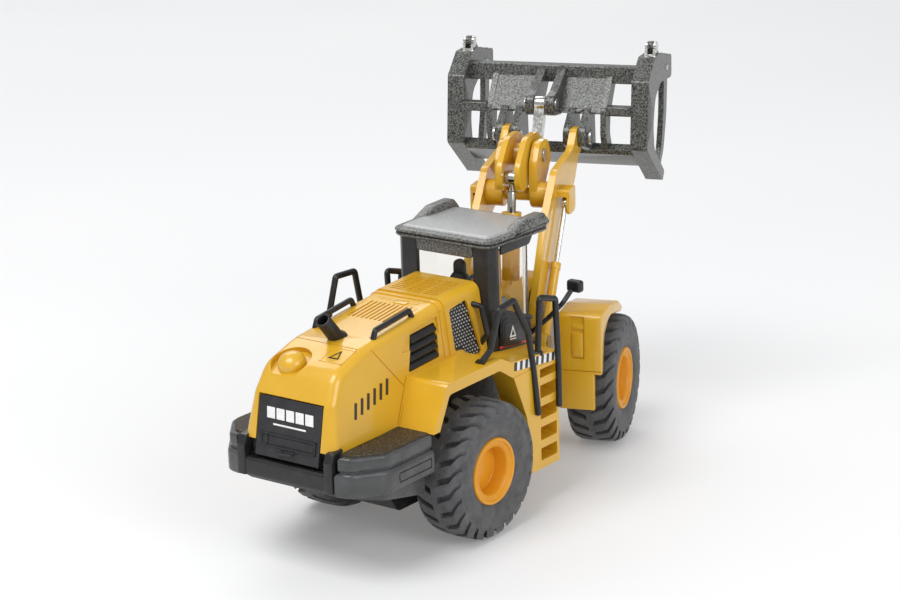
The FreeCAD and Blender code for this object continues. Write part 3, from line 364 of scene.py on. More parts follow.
def lathe(name, profile, centre, axis, steps):
    """A piece that is one turned solid."""
    bm = bmesh.new()
    lathe_into(bm, profile, centre, axis, steps)
    return new_piece(name, bm)


def bent_path(points, bend, steps=6):
    """A polyline through 3-D points whose corners are rounded to a bend radius."""
    points = [Vector(point) for point in points]
    path = [points[0]]
    for before, corner, after in zip(points, points[1:], points[2:]):
        back, ahead = (before - corner).normalized(), (after - corner).normalized()
        half = back.angle(ahead) / 2
        reach = bend / math.tan(half)
        centre = corner + (back + ahead).normalized() * (bend / math.sin(half))
        first, last = corner + back * reach - centre, corner + ahead * reach - centre
        path += [centre + first.slerp(last, step / steps) for step in range(steps + 1)]
    path.append(points[-1])
    return path


def rod_into(bm, points, radius, bend, sides, ends=0.0):
    """Add a round rod along a bent path; ends is how far its rounded tips stick out."""
    path = bent_path(points, bend)
    along = (path[1] - path[0]).normalized()
    across = along.orthogonal().normalized()
    last = len(path) - 1
    rings = []
    for i, point in enumerate(path):
        ahead = (path[min(i + 1, last)] - path[max(i - 1, 0)]).normalized()
        across = (along.rotation_difference(ahead) @ across).normalized()
        along = ahead
        other = along.cross(across)
        circle = [(across * math.cos(a) + other * math.sin(a)) * radius
                  for a in (2 * math.pi * step / sides for step in range(sides))]
        if ends and i == 0:
            rings.append([point - along * ends + corner * 0.5 for corner in circle])
        rings.append([point + corner for corner in circle])
        if ends and i == last:
            rings.append([point + along * ends + corner * 0.5 for corner in circle])
    skin(bm, rings)


def combine(piece, tools, operation="DIFFERENCE"):
    """Cut tools out of a piece (or add them to it) for good."""
    for tool in tools:
        step = piece.modifiers.new("combine", "BOOLEAN")
        step.object = tool
        step.operation = operation
        step.solver = "EXACT"
    graph = bpy.context.evaluated_depsgraph_get()
    mesh = bpy.data.meshes.new_from_object(piece.evaluated_get(graph))
    piece.modifiers.clear()
    piece.data = mesh
    for tool in tools:
        bpy.data.objects.remove(tool)
    return piece


SHARP = math.radians(32)
FLAT = math.radians(0.6)


def ease_edges(piece, width):
    """Round every sharp edge by a width in millimetres."""
    bm = bmesh.new()
    bm.from_mesh(piece.data)
    bmesh.ops.remove_doubles(bm, verts=bm.verts, dist=1e-7)
    bmesh.ops.dissolve_limit(bm, angle_limit=FLAT, verts=bm.verts, edges=bm.edges)
    sharp = [edge for edge in bm.edges if len(edge.link_faces) == 2 and edge.calc_face_angle(0) > SHARP]
    bmesh.ops.bevel(bm, geom=sharp, offset=width * MM, segments=2, profile=0.5, affect="EDGES",
                    clamp_overlap=True)
    bm.to_mesh(piece.data)
    bm.free()


def dress(piece, material, slot, body="rear_frame", front=False, ease=0.0, smooth=35):
    """Finish a piece: ease its edges, turn it with the front frame, shade it, paint it and mount it."""
    if ease:
        ease_edges(piece, ease)
    if front:
        piece.data.transform(STEERED)
    piece.data.shade_smooth()
    piece.data.set_sharp_from_angle(angle=math.radians(smooth))
    piece.data.materials.clear()
    piece.data.materials.append(material)
    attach(piece, body)


def show(name, bm, material, slot, node=None, body="rear_frame", **finish):
    """A dressed piece from a drawn bmesh, in place of a CAD node if one is named."""
    piece = new_piece(name, bm)
    if node:
        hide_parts(node)
    dress(piece, material, slot, body, **finish)


def keep_node(name, material, ease):
    """Show a CAD node as it is, with softened edges and a finished material."""
    node = NODES[name]
    node.data.materials.clear()
    node.data.materials.append(material)
    weld = node.modifiers.new("weld", "WELD")
    weld.merge_threshold = 1e-6
    edges = node.modifiers.new("edges", "BEVEL")
    edges.width = ease * MM
    edges.segments = 2
    edges.limit_method = "ANGLE"
    edges.angle_limit = math.radians(38)
    edges.harden_normals = False


# ---------------------------------------------------------------- wheels
def axle_centre(body):
    """Centre, in mm, and direction of an axle, from the wheels' joint."""
    joint = next(joint for joint in JOINTS.values() if joint["child"] == body)
    return Vector(joint["pos_m"]) / MM, Vector(joint["axis"])


TYRE_MIDDLE = 34.1 - 15.9 / 2
# Half a tyre's section as (radius, distance from its middle), and the points of it a groove lowers.
TYRE_HALF = [(21.5, 0.0), (21.5, 0.8), (21.45, 1.3), (21.4, 3.6), (21.2, 5.6), (20.7, 6.8), (19.9, 7.55),
             (18.8, 7.9), (17.9, 7.95), (17.2, 7.85), (16.9, 7.95), (15.0, 7.9), (13.0, 7.75), (11.9, 7.5),
             (11.3, 7.15), (10.5, 6.9)]
GROOVE_FLOOR = {2: (19.6, 1.3), 3: (19.4, 3.6), 4: (19.3, 5.6), 5: (19.1, 6.5), 6: (18.8, 7.0),
                7: (18.2, 7.3)}
LUGS = 24


def make_tyre(body, side_name, side):
    """A tyre whose two rows of slanting grooves are staggered and bend over the shoulders."""
    centre, axis = axle_centre(body)
    pitch = 2 * math.pi / LUGS
    columns = [0.0, 0.035, 0.345, 0.38, 0.5, 0.535, 0.845, 0.88]
    bm = bmesh.new()
    turn = Vector((0, 0, 1)).rotation_difference(axis).to_matrix()
    spots = [(half, i) for half in (-1, 1) for i in (range(len(TYRE_HALF) - 1, -1, -1) if half < 0
                                                   else range(1, len(TYRE_HALF)))]
    rings = []
    for lug in range(LUGS):
        for index, fraction in enumerate(columns):
            ring = []
            for half, i in spots:
                radius, out = TYRE_HALF[i]
                in_groove = index in ((1, 2) if half < 0 else (5, 6))
                if in_groove and i in GROOVE_FLOOR:
                    radius, out = GROOVE_FLOOR[i]
                slant = 0.017 * min(out, 5.6) + 0.07 * max(0.0, out - 5.6)
                angle = (lug + fraction) * pitch - side * slant * 1.15
                along = TYRE_MIDDLE * side + half * out
                ring.append(bm.verts.new(centre + turn @ Vector(
                    (radius * math.cos(angle), radius * math.sin(angle), along))))
            rings.append(ring)
    for i, ring in enumerate(rings):
        following = rings[(i + 1) % len(rings)]
        for j in range(len(ring) - 1):
            bm.faces.new((ring[j], ring[j + 1], following[j + 1], following[j]))
        bm.faces.new((ring[-1], ring[0], following[0], following[-1]))
    show(f"{body}_tyre_{side_name}_treaded", bm, RUBBER, "tyre_rubber",
         f"{body.split('_')[0]}_tyre_{side_name}", body=body, smooth=28)


RIM = [(1.5, -7.5), (10.4, -7.5), (10.4, 7.1), (10.15, 7.5), (9.75, 7.6), (9.35, 7.45), (9.2, 7.0),
       (8.95, 6.75), (8.3, 6.7), (8.1, 6.9), (7.85, 6.95), (7.6, 6.7), (7.3, 6.0), (7.0, 2.2), (6.75, 1.9),
       (6.4, 1.9), (6.25, 2.1), (6.1, 2.4), (5.9, 2.5), (0, 2.5)]


def make_rims(body):
    """Dished rims with a stepped flange, and a plain disc at the bottom of the dish."""
    centre, axis = axle_centre(body)
    bm = bmesh.new()
    for _, side in SIDES:
        lathe_into(bm, RIM, centre + axis * (TYRE_MIDDLE * side), axis * side)
    show(f"{body}_dished_rims", bm, YELLOW_PLASTIC, "plastic_yellow", f"{body.split('_')[0]}_rims",
         body=body, ease=0.12, smooth=40)


# ---------------------------------------------------------------- hood
HOOD_TOP = [(-99.9, 40.2), (-97.4, 53.6, 7), (-92.9, 61.8, 8), (-80.2, 66.2, 24), (-42, 70.8, 40),
            (-22.6, 72.0)]
HOOD_FOOT = [(-22.6, 48.6), (-60, 50.4), (-66, 46), (-69.4, 40.2)]
FRONT_START = -40.8
HOOD_LEAN = 0.15


def hood_half(z):
    """Half width of the hood at a height: its sides lean in evenly."""
    return 17.3 - HOOD_LEAN * (z - 40)


def hood_top(x):
    """Height of the hood's top surface along its middle."""
    points = rounded(HOOD_TOP, 8)
    for a, b in zip(points, points[1:]):
        if a.x <= x <= b.x:
            return a.y + (b.y - a.y) * (x - a.x) / (b.x - a.x)
    return HOOD_TOP[-1][1]


def chain_normals(points):
    """Outward unit normals (x, z) along an open chain that runs forward over the top."""
    normals = []
    for i in range(len(points)):
        run = (points[min(i + 1, len(points) - 1)] - points[max(i - 1, 0)]).normalized()
        normals.append(Vector((-run.y, run.x)))
    return normals


SIDE_OUT = Vector((0, 1, HOOD_LEAN)).normalized()


def hood_solid(name, chain, foot, grow=0.0, edge=2.0, steps=8, arc=6):
    """A closed solid between the leaning sides, its top edges rounded all along the chain."""
    bm = bmesh.new()
    points = rounded(chain, steps)
    rows = []
    for point, normal in zip(points, chain_normals(points)):
        up = Vector((normal.x, 0, normal.y))
        centre = Vector((point.x, 0, point.y)) - up * edge
        centre.y = hood_half(centre.z) + grow - edge / SIDE_OUT.y
        rim = [centre + SIDE_OUT.slerp(up, step / arc) * edge for step in range(arc + 1)]
        rows.append([bm.verts.new(p) for p in rim] + [bm.verts.new((p.x, -p.y, p.z)) for p in reversed(rim)])
    feet = [[bm.verts.new((x, side * (hood_half(z) + grow), z)) for x, z in foot] for side in (1, -1)]
    for near, far in zip(rows, rows[1:]):
        for i in range(len(near) - 1):
            bm.faces.new((near[i], near[i + 1], far[i + 1], far[i]))
    bm.faces.new([row[0] for row in rows] + feet[0])
    bm.faces.new([row[-1] for row in rows] + feet[1])
    for i in range(len(foot) - 1):
        bm.faces.new((feet[0][i], feet[0][i + 1], feet[1][i + 1], feet[1][i]))
    bm.faces.new(rows[-1] + [feet[1][0], feet[0][0]])
    bm.faces.new(rows[0] + [feet[1][-1], feet[0][-1]])
    return new_piece(name, bm)


def side_strip_into(bm, a, b, width, depth, side, proud=1.0):
    """A thin cutter (or rib) on the hood's side, along the line from a to b (x, z)."""
    a, b = Vector(a), Vector(b)
    across = Vector((-(b - a).y, (b - a).x)).normalized() * (width / 2)
    near, far = [], []
    for corner in (a + across, b + across, b - across, a - across):
        near.append((corner.x, side * (hood_half(corner.y) - depth), corner.y))
        far.append((corner.x, side * (hood_half(corner.y) + proud), corner.y))
    skin(bm, [near, far])


def top_strip_into(bm, x0, x1, y0, y1, depth, proud=1.0, grow=0.0):
    """A cutter (or rib) in the hood's top between two stations and two sides."""
    corners = [(x0, y0), (x1, y0), (x1, y1), (x0, y1)]
    skin(bm, [[(x, y, hood_top(x) + grow - depth) for x, y in corners],
              [(x, y, hood_top(x) + grow + proud) for x, y in corners]])


DOME_PLACE = Vector((-89.6, 5.6, 61.0))
DOME_AXIS = Vector((-0.36, 0, 0.93)).normalized()
VENT = [(-57.4, 64.6, 0.6), (-45.0, 65.5, 0.8), (-46.0, 55.1, 0.8), (-61.2, 54.3, 0.6)]
VENT_BROW = [(-63.6, 60.6, 0.5), (-58.2, 65.9, 0.5), (-44.2, 67.2, 0.5), (-44.2, 62, 0.4),
             (-59.6, 60.4, 0.4)]
MESH = [(-38.6, 67.6, 1.0), (-29.6, 68.8, 1.2), (-25.2, 50.9, 0.8), (-31, 51.2, 1), (-34.6, 54.4, 1.2),
        (-38.4, 54.8, 1)]


def side_pocket(name, outline, depth, side, grow=0.0, lean=0.0):
    """A cutter for a window in the hood's side; lean tips its floor inward towards the top."""
    bm = bmesh.new()
    points = rounded(outline, 4)
    low = min(p.y for p in points)
    inner = [bm.verts.new((p.x, side * (hood_half(p.y) + grow - depth - lean * (p.y - low)),
                           p.y)) for p in points]
    outer = [bm.verts.new((p.x, side * (hood_half(p.y) + grow + 2), p.y)) for p in points]
    bm.faces.new(inner)
    bm.faces.new(outer)
    for i in range(len(points)):
        j = (i + 1) % len(points)
        bm.faces.new((inner[i], inner[j], outer[j], outer[i]))
    return new_piece(name, bm)


def make_hood():
    """The engine hood: a rear body, a slightly prouder front section, grilles, seams and recesses."""
    rear = hood_solid("engine_hood", HOOD_TOP, HOOD_FOOT, edge=3.0)
    front = hood_solid("hood_front", [(FRONT_START, hood_top(FRONT_START) + 0.5), (-22.6, 72.5)],
                       [(-22.6, 48.7), (FRONT_START, 49.6)], grow=0.45, edge=3.1)
    collar = hood_solid("hood_collar", [(-43.4, hood_top(-43.4) + 0.32), (-42.4, hood_top(-42.4) + 0.32)],
                        [(-42.4, 51.0), (-43.4, 51.0)], grow=0.3, edge=3.0)
    combine(rear, [front, collar], "UNION")
    cutters = [side_pocket("vent_pocket", VENT, 1.7, side) for _, side in SIDES]
    cutters += [side_pocket("vent_brow", VENT_BROW, 0.35, side, lean=0.07) for _, side in SIDES]
    cutters += [side_pocket("mesh_pocket", MESH, 0.9, side, grow=0.4) for _, side in SIDES]
    bm = bmesh.new()
    for _, side in SIDES:
        side_strip_into(bm, (-78.4, 67.2), (-64.2, 50.9), 0.32, 0.3, side)
    top_strip_into(bm, -80.5, -80.15, -12.5, 12.5, 0.3)
    top_strip_into(bm, -72.6, -49.0, 9.5, 9.75, 0.22)
    top_strip_into(bm, -72.6, -49.0, -9.75, -9.5, 0.22)
    for i in range(10):
        y = -7.4 + 14.8 * i / 9
        top_strip_into(bm, -61.0, -48.6, y - 0.38, y + 0.38, 0.6)
    cutters.append(new_piece("hood_slots", bm))
    bm = bmesh.new()
    for _, side in SIDES:
        side_strip_into(bm, (-69.9, 40.9), (-62.6, 53.8), 0.4, 0.45, side)
    cutters.append(new_piece("fender_seams", bm))
    bm = bmesh.new()
    for column in (-1, 0, 1):
        for row in range(9):
            x = -38.4 + 11.6 * row / 8
            top_strip_into(bm, x - 0.38, x + 0.38, column * 6.4 - 2.75, column * 6.4 + 2.75, 0.5, grow=0.4)
    cutters.append(new_piece("hood_grid", bm))
    cutters.append(lathe("dome_recess", [(0, 0), (6.3, 0), (6.9, 7), (0, 7)], DOME_PLACE, DOME_AXIS, 48))
    cutters.append(slab("panel_recess", [(-102, 34), (-102, 53.7), (-95.9, 53.7), (-99.6, 34)], -12.2, 12.2))
    combine(rear, cutters)
    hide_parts("hood")
    dress(rear, PAINT, "body_yellow", smooth=30)
    label = bmesh.new()
    top_strip_into(label, -47.9, -45.6, -4.2, 0.6, 0.3, proud=0.3)
    top_strip_into(label, -46.2, -45.4, -7.5, 7.5, 0.3, proud=0.15)
    show("hood_label_plate", label, PAINT, "body_yellow", ease=0.08)


def make_side_grilles():
    """Four louvre blades in each vent; a pimpled mesh in each window near the cab, its studs painted light grey as
    a painted highlight for glints and the light seen through its holes.
    """
    louvres, mesh, studs = bmesh.new(), bmesh.new(), bmesh.new()
    for _, side in SIDES:
        inset = 1.65
        points = rounded([(x, z) for x, z, _ in VENT], 1)
        back = [(p.x, side * (hood_half(p.y) - inset), p.y) for p in points]
        rear = [(p.x, side * (hood_half(p.y) - inset - 0.6), p.y) for p in points]
        skin(louvres, [back, rear])
        for blade in range(4):
            low, high = (blade + 0.08) / 4, (blade + 0.84) / 4
            rows = []
            for share, depth in ((low, -0.15), (low + 0.06, -0.3), (high, 0.9), (high - 0.02, 1.7),
                                 (low, 1.7)):
                left = Vector(VENT[3][:2]).lerp(Vector(VENT[0][:2]), share)
                right = Vector(VENT[2][:2]).lerp(Vector(VENT[1][:2]), share)
                rows.append([(left.x + 0.25, side * (hood_half(left.y) - depth), left.y),
                             (right.x - 0.25, side * (hood_half(right.y) - depth), right.y)])
            skin(louvres, [[row[0] for row in rows], [row[1] for row in rows]])
        points = rounded(MESH, 3)
        ring = [mesh.verts.new((p.x, side * (hood_half(p.y) + 0.4 - 0.75), p.y)) for p in points]
        back_ring = [mesh.verts.new((p.x, side * (hood_half(p.y) + 0.4 - 1.3), p.y)) for p in points]
        mesh.faces.new(ring)
        mesh.faces.new(back_ring)
        for i in range(len(points)):
            j = (i + 1) % len(points)
            mesh.faces.new((ring[i], ring[j], back_ring[j], back_ring[i]))
        for row in range(17):
            z = 51.7 + row * 1.02
            for column in range(11):
                x = -38.1 + column * 1.36 + (0.68 if row % 2 else 0.0)
                if not inside((x, z), points, 0.4):
                    continue
                base = Vector((x, side * (hood_half(z) - 0.37), z))
                outward = Vector((0, side, HOOD_LEAN)).normalized()
                lathe_into(studs, [(0.3, -0.1), (0.3, 0.2), (0.17, 0.34), (0, 0.38)], base, outward, 10)
    vents = new_piece("louvred_vents", louvres)
    panels = new_piece("pimpled_mesh", mesh)
    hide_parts("side_grilles")
    dress(vents, BLACK, "grille_black", ease=0.06)
    dress(panels, BLACK, "grille_black", smooth=50)
    # The studs carry painted light: their light grey is a painted highlight for glints and the light through the
    # mesh's holes.
    show("mesh_studs", studs, STUD_GLINT_GREY, "grille_black", smooth=60)


def inside(point, outline, margin):
    """Whether a point lies inside an outline, at least a margin from its edges."""
    x, y = point
    crossings = 0
    for a, b in zip(outline, outline[1:] + outline[:1]):
        run = b - a
        share = max(0.0, min(1.0, (Vector(point) - a).dot(run) / max(run.length_squared, 1e-9)))
        if (a + run * share - Vector(point)).length < margin:
            return False
        if (a.y > y) != (b.y > y) and x < a.x + (y - a.y) * run.x / run.y:
            crossings += 1
    return crossings % 2 == 1


def make_dome():
    """The beacon: an oval cap on a short collar."""
    profile = [(4.3 * math.cos(a), 0.7 + 3.3 * math.sin(a)) for a in (math.radians(9 * i) for i in range(10))]
    profile = [(4.3, -1.0)] + profile + [(0, 4.0)]
    dome = lathe("beacon_dome", profile, DOME_PLACE, DOME_AXIS, 48)
    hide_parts("hood_dome")
    dress(dome, PAINT, "body_yellow")


def make_exhaust():
    """A raked pipe cut off level with its foot collar and a hollow mouth."""
    foot, lean = Vector((-74.8, 0, 65.6)), Vector((-0.66, 0, 0.75)).normalized()
    profile = [(3.1, -0.6), (3.1, 0.7), (2.5, 1.1), (2.35, 2.0), (2.3, 10.3), (2.2, 10.6), (1.75, 10.6),
               (1.65, 10.2), (1.6, 6.0), (0, 6.0)]
    pipe = lathe("exhaust_stub", profile, foot, lean, 40)
    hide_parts("exhaust_pipe")
    dress(pipe, BLACK, "black_plastic", ease=0.1)


def make_rails():
    """Hand rails as bent rods; all but the hood rails get a small flanged foot where each rod starts."""
    groups = {
        "hood_rails": ([[(-72.4, y, 66.6), (-71.4, y, 69.5), (-54.8, y, 71.5),
                         (-53.7, y, 69.0)] for y in (11.0, -11.0)]
                       + [[(-27.4, s * 11.8, 67.0), (-25.6, s * 16.4, 66.2), (-24.9, s * 18.0, 57),
                           (-24.6, s * 14.6, 53.2)]
                          for s in (1, -1)], 1.2, 0.9),
        "guard_rail_left": ([[(-48, 27.9, 53.4), (-43.2, 28, 75.2), (-29.6, 28, 74.6),
                              (-27.4, 27.9, 51.2)]], 3.4, 1.0),
    }
    for side_name, s in SIDES:
        front_rail = [(-13.6, s * 28.6, 49.7), (-15, s * 29.6, 69.4), (-4.4, s * 30, 66.4),
                      (-5.2, s * 30.4, 52),
                      (-6.6, s * 31.1, 44.4), (-6.0, s * 31.1, 31.0)]
        rear_rail = [(-41.5, s * 27, 53.5), (-35.4, s * 27.2, 55.4), (-33.6, s * 27.6, 69.2),
                     (-24.6, s * 28.4, 71.2),
                     (-21.0, s * 29.4, 58.5), (-17.8, s * 31.1, 46.8), (-17.4, s * 31.1, 31.4)]
        groups[f"ladder_rails_{side_name}"] = ([front_rail, rear_rail] if s < 0 else [front_rail], 2.2, 1.0)
    for node, (routes, bend, radius) in groups.items():
        bm = bmesh.new()
        for route in routes:
            rod_into(bm, route, radius, bend, sides=20, ends=0.35)
            foot, next_point = Vector(route[0]), Vector(route[1])
            if node != "hood_rails":
                way = (next_point - foot).normalized()
                lathe_into(bm, [(0, -0.3), (1.7, -0.3), (1.7, 0.3), (1.45, 0.75), (radius, 1.0), (0, 1.0)],
                           foot, way, 20)
        show(f"{node}_bent", bm, BLACK, "black_plastic", node, smooth=45)


# ---------------------------------------------------------------- tail
WEIGHT_PLAN = [(-98.5, 18.3), (-101.5, 18.3), (-100.5, 23, 4), (-91, 30.3, 6), (-69, 30.3, 1), (-69, 13.1)]
WEIGHT_LOW_PLAN = [(-98.3, 16), (-96.5, 20, 4), (-89, 26.5, 5), (-69, 26.5, 1), (-69, 13.1)]


WEIGHT_SLOPE = [(-104, 28.1), (-67, 20.5), (-67, 14), (-104, 14)]


def both_sides(half):
    """Close a half outline (y > 0) round the back of the chassis gap with its mirror image."""
    gap = [(-93.1, 13.1), (-93.1, -13.1)]
    return half + gap + [(x, -y, *radius) for x, y, *radius in reversed(half)]


def make_counterweight():
    """The tail weight: a narrower skirt, a main band with a rounded shoulder, and a set-back top."""
    bm = bmesh.new()
    stack_into(bm, both_sides(WEIGHT_LOW_PLAN), [(1.6, 20.0), (0.6, 20.7), (0.1, 22.0), (0.05, 28.6)],
               steps=8)
    skirt = new_piece("weight_skirt", bm)
    combine(skirt, [slab("skirt_slope", WEIGHT_SLOPE, -40, 40)])
    bm = bmesh.new()
    stack_into(bm, both_sides(WEIGHT_PLAN),
               [(0.6, 28.2), (0.2, 28.5), (0, 29.0), (0, 34.2), (0.12, 34.8), (0.45, 35.25), (0.95, 35.45),
                (1.15, 35.3),
                (1.15, 35.9), (0.85, 36.2), (0.75, 36.8), (0.75, 39.3), (0.9, 39.7), (1.25, 40.0)], steps=8)
    weight = combine(new_piece("tail_counterweight", bm), [skirt], "UNION")
    bm = bmesh.new()
    for _, side in SIDES:
        for low, high in (((-86.5, 30.4), (-71, 30.9)), ((-86.5, 33.1), (-71, 33.5)),
                          ((-86.5, 31.0), (-86.1, 33.0)),
                          ((-71.4, 31.0), (-71.0, 33.0))):
            slab_into(bm, block(low, high), side * 29.95, side * 31.5)
    combine(weight, [new_piece("side_lines", bm)])
    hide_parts("counterweight")
    dress(weight, WEIGHT_GREY, "weight_grey", smooth=40)


def make_tread_plates():
    """Gritty step plates let into the top of the weight."""
    bm = bmesh.new()
    for _, side in SIDES:
        plan = [(-98.2, 18.6), (-97.8, 22.0, 3), (-90.4, 28.6, 5), (-69.8, 28.6, 0.6), (-69.8, 17.2)]
        stack_into(bm, [(x, side * y, *radius) for x, y, *radius in plan],
                   [(0, 39.6), (0, 40.25), (0.12, 40.45), (0.35, 40.55)])
    show("grit_step_plates", bm, GRIT, "tread_brown", "tread_plates", smooth=50)


def make_bumper():
    """A channelled beam between two posts whose bevelled caps lean forward over the weight."""
    bm = bmesh.new()
    for side in (1, -1):
        post = [(-102.2, 28.9, 0.4), (-102.2, 38.4, 0.5), (-100.9, 40.9, 0.5), (-96.4, 41.6, 0.3),
                (-96.4, 40.5),
                (-98.4, 40.2), (-98.4, 28.9)]
        soft_slab_into(bm, post, min(side * 14.9, side * 17.9), max(side * 14.9, side * 17.9), 0.35)
    beam = [(-98.3, 28.9), (-101.6, 28.9, 0.5), (-101.9, 29.8, 0.3), (-101.9, 33.9, 0.5),
            (-101.2, 34.6, 0.4),
            (-99.9, 34.7), (-99.9, 34.1), (-99.0, 34.1), (-99.0, 35.2), (-98.3, 35.2)]
    slab_into(bm, beam, -15.0, 15.0)
    show("tail_bumper", bm, BLACK, "black_plastic", "rear_bumper", smooth=38)


def tail_point(y, z, proud=0.0):
    """A point on the sloping face of the tail panel, or a little proud of it."""
    lean = Vector((-17.8, 0, 3.6)).normalized()
    return Vector((-100.65 + 3.6 * (z - 35.6) / 17.8, y, z)) + lean * proud


def tail_slab_into(bm, outline, low, high, steps=5):
    """A slab on the tail panel: an outline in (y, z), between two heights above the panel."""
    points = rounded(outline, steps)
    rings = [[bm.verts.new(tail_point(p.x, p.y, proud)) for p in inset_points(points, inset)]
             for inset, proud in ((0, low), (0, high - 0.12), (0.12, high))]
    bm.faces.new(rings[0])
    bm.faces.new(rings[-1])
    for near, far in zip(rings, rings[1:]):
        for i in range(len(points)):
            j = (i + 1) % len(points)
            bm.faces.new((near[i], near[j], far[j], far[i]))


def frame_into(bm, add, low, high, bar, bottom, top):
    """Four bars of a rectangular frame, added by a slab function that takes an outline and two heights."""
    (a0, b0), (a1, b1) = low, high
    for start, end in (((a0, b0), (a1, b0 + bar)), ((a0, b1 - bar), (a1, b1)),
                       ((a0, b0), (a0 + bar, b1)), ((a1 - bar, b0), (a1, b1))):
        add(bm, block(start, end), bottom, top)


def make_tail_panel():
    """The black tail grille: a plate with a raised frame, a square in its corner and a small handle."""
    bm = bmesh.new()
    tail_slab_into(bm, [(-11.9, 35.7), (11.9, 35.7), (11.9, 53.2, 0.9), (-11.9, 53.2, 0.9)], -1.6, 0.25)
    frame_into(bm, tail_slab_into, (-10.6, 38.8), (10.4, 42.7), 0.45, 0.1, 0.7)
    frame_into(bm, tail_slab_into, (7.4, 39.3), (10.0, 42.2), 0.4, 0.1, 0.62)
    tail_slab_into(bm, block((-9.9, 39.6), (6.2, 41.9), 0.3), 0.1, 0.42)
    tail_slab_into(bm, [(-2.4, 36.9, 0.8), (2.4, 36.9, 0.8), (2.4, 38.5, 0.8), (-2.4, 38.5, 0.8)], 0.1, 0.5)
    rod_into(bm, [tail_point(-1.9, 37.7, 0.4), tail_point(-1.7, 37.7, 1.2), tail_point(1.7, 37.7, 1.2),
                  tail_point(1.9, 37.7, 0.4)], 0.28, 0.15, 10)
    show("tail_grille_panel", bm, CAB_BLACK, "black_plastic", "rear_grille_panel", smooth=40)
    bm = bmesh.new()
    for bar in range(5):
        left = -9.0 + bar * 3.6
        tail_slab_into(bm, [(left, 46.9), (left + 3.1, 46.9), (left + 3.5, 50.2), (left + 0.4, 50.2)], 0.2,
                       0.33)
    tail_slab_into(bm, [(-6.4, 45.1), (6.0, 45.1), (6.1, 45.7), (-6.3, 45.7)], 0.2, 0.33)
    show("plain_tail_badge", bm, WHITE_INK, "black_plastic")


def make_hood_marks():
    """Plain printed marks: a triangle on the hood's top label and slanting bars on its sides."""
    bm = bmesh.new()
    corners = [Vector((-86.4, -9.0)), Vector((-82.4, -7.6)), Vector((-86.4, -5.2))]
    middle = sum(corners, Vector((0, 0))) / 3
    for a, b in zip(corners, corners[1:] + corners[:1]):
        inner = [middle.lerp(p, 0.62) for p in (a, b)]
        ring = [(a.x, a.y), (b.x, b.y), (inner[1].x, inner[1].y), (inner[0].x, inner[0].y)]
        skin(bm, [[(x, y, hood_top(x) + 0.02) for x, y in ring],
                  [(x, y, hood_top(x) + 0.09) for x, y in ring]])
    for _, side in SIDES:
        for bar in range(6):
            x = -87.6 + bar * 3.1
            z = 47.6 + bar * 0.62
            side_strip_into(bm, (x - 0.55, z), (x + 0.65, z + 4.6), 1.15, 0.02, side, proud=0.07)
    show("hood_printed_marks", bm, DARK_INK, "body_yellow")
    bm = bmesh.new()
    for x0, x1, y0, y1 in ((-88.2, -81.2, -11.6, -11.2), (-88.2, -81.2, -3.8, -3.4),
                           (-88.2, -87.8, -11.6, -3.4),
                           (-81.6, -81.2, -11.6, -3.4)):
        top_strip_into(bm, x0, x1, y0, y1, 0.3, proud=0.14)
    show("hood_label_frame", bm, PAINT, "body_yellow")


# ---------------------------------------------------------------- cab
ROOF_PLAN = [(-24.6, -19, 4), (7.6, -20.4, 4), (7.6, 20.4, 4), (-24.6, 19, 4)]


def make_roof():
    """The roof: a double-grooved rim, a crowned panel and two swept-up front corners, over a header band."""
    bm = bmesh.new()
    stack_into(bm, ROOF_PLAN, [(1.6, 83.3), (0.7, 83.5), (0.2, 84.0), (0.3, 84.4), (0.95, 84.6),
                               (0.4, 84.85),
                               (0.0, 85.2), (0.0, 85.6), (0.35, 85.95), (1.3, 86.1), (1.9, 86.0),
                               (2.6, 86.3)], steps=8)
    show("cab_roof_moulding", bm, RIM_GREY, "roof_grey", "cab_roof", smooth=42)
    bm = bmesh.new()
    stack_into(bm, ROOF_PLAN, [(2.4, 86.0), (2.4, 86.25), (2.7, 86.55), (3.6, 86.8)], steps=8)
    show("roof_top_panel", bm, ROOF_GREY, "roof_grey", smooth=42)
    bm = bmesh.new()
    for side in (1, -1):
        low, high = sorted((side * 15.2, side * 19.7))
        horn = [(-13.5, 85.2), (-12.0, 86.3, 4), (-5.6, 89.0, 3), (4.6, 89.3, 1.8), (7.3, 86.4, 1),
                (7.3, 85.2)]
        soft_slab_into(bm, horn, low, high, 0.9, steps=6)
    show("roof_front_corners", bm, RIM_GREY, "roof_grey", smooth=42)
    bm = bmesh.new()
    soft_slab_into(bm, [(-10.7, 79.4, 1.2), (10.7, 79.4, 1.2), (10.7, 83.4), (-10.7, 83.4)], -22.3, -20.6,
                   0.3, "YZ")
    show("rear_header_band", bm, RIM_GREY, "roof_grey", smooth=42)
    bm = bmesh.new()
    for side in (1, -1):
        low, high = sorted((side * 17.7, side * 18.5))
        soft_slab_into(bm, [(-17.6, 80.6), (-2.6, 80.6, 2), (-0.6, 83.4), (-17.6, 83.4)], low, high, 0.2)
    soft_slab_into(bm, [(-14, 81.2, 1), (14, 81.2, 1), (16, 83.4), (-16, 83.4)], 0.6, 2.6, 0.3, "YZ")
    show("side_header_bands", bm, CAB_BLACK, "roof_grey", smooth=42)


def deck_top(x):
    """Height of the running deck beside the cab, which falls towards the ladder."""
    return 51.15 - 2.4 * (x + 28.5) / 23.5


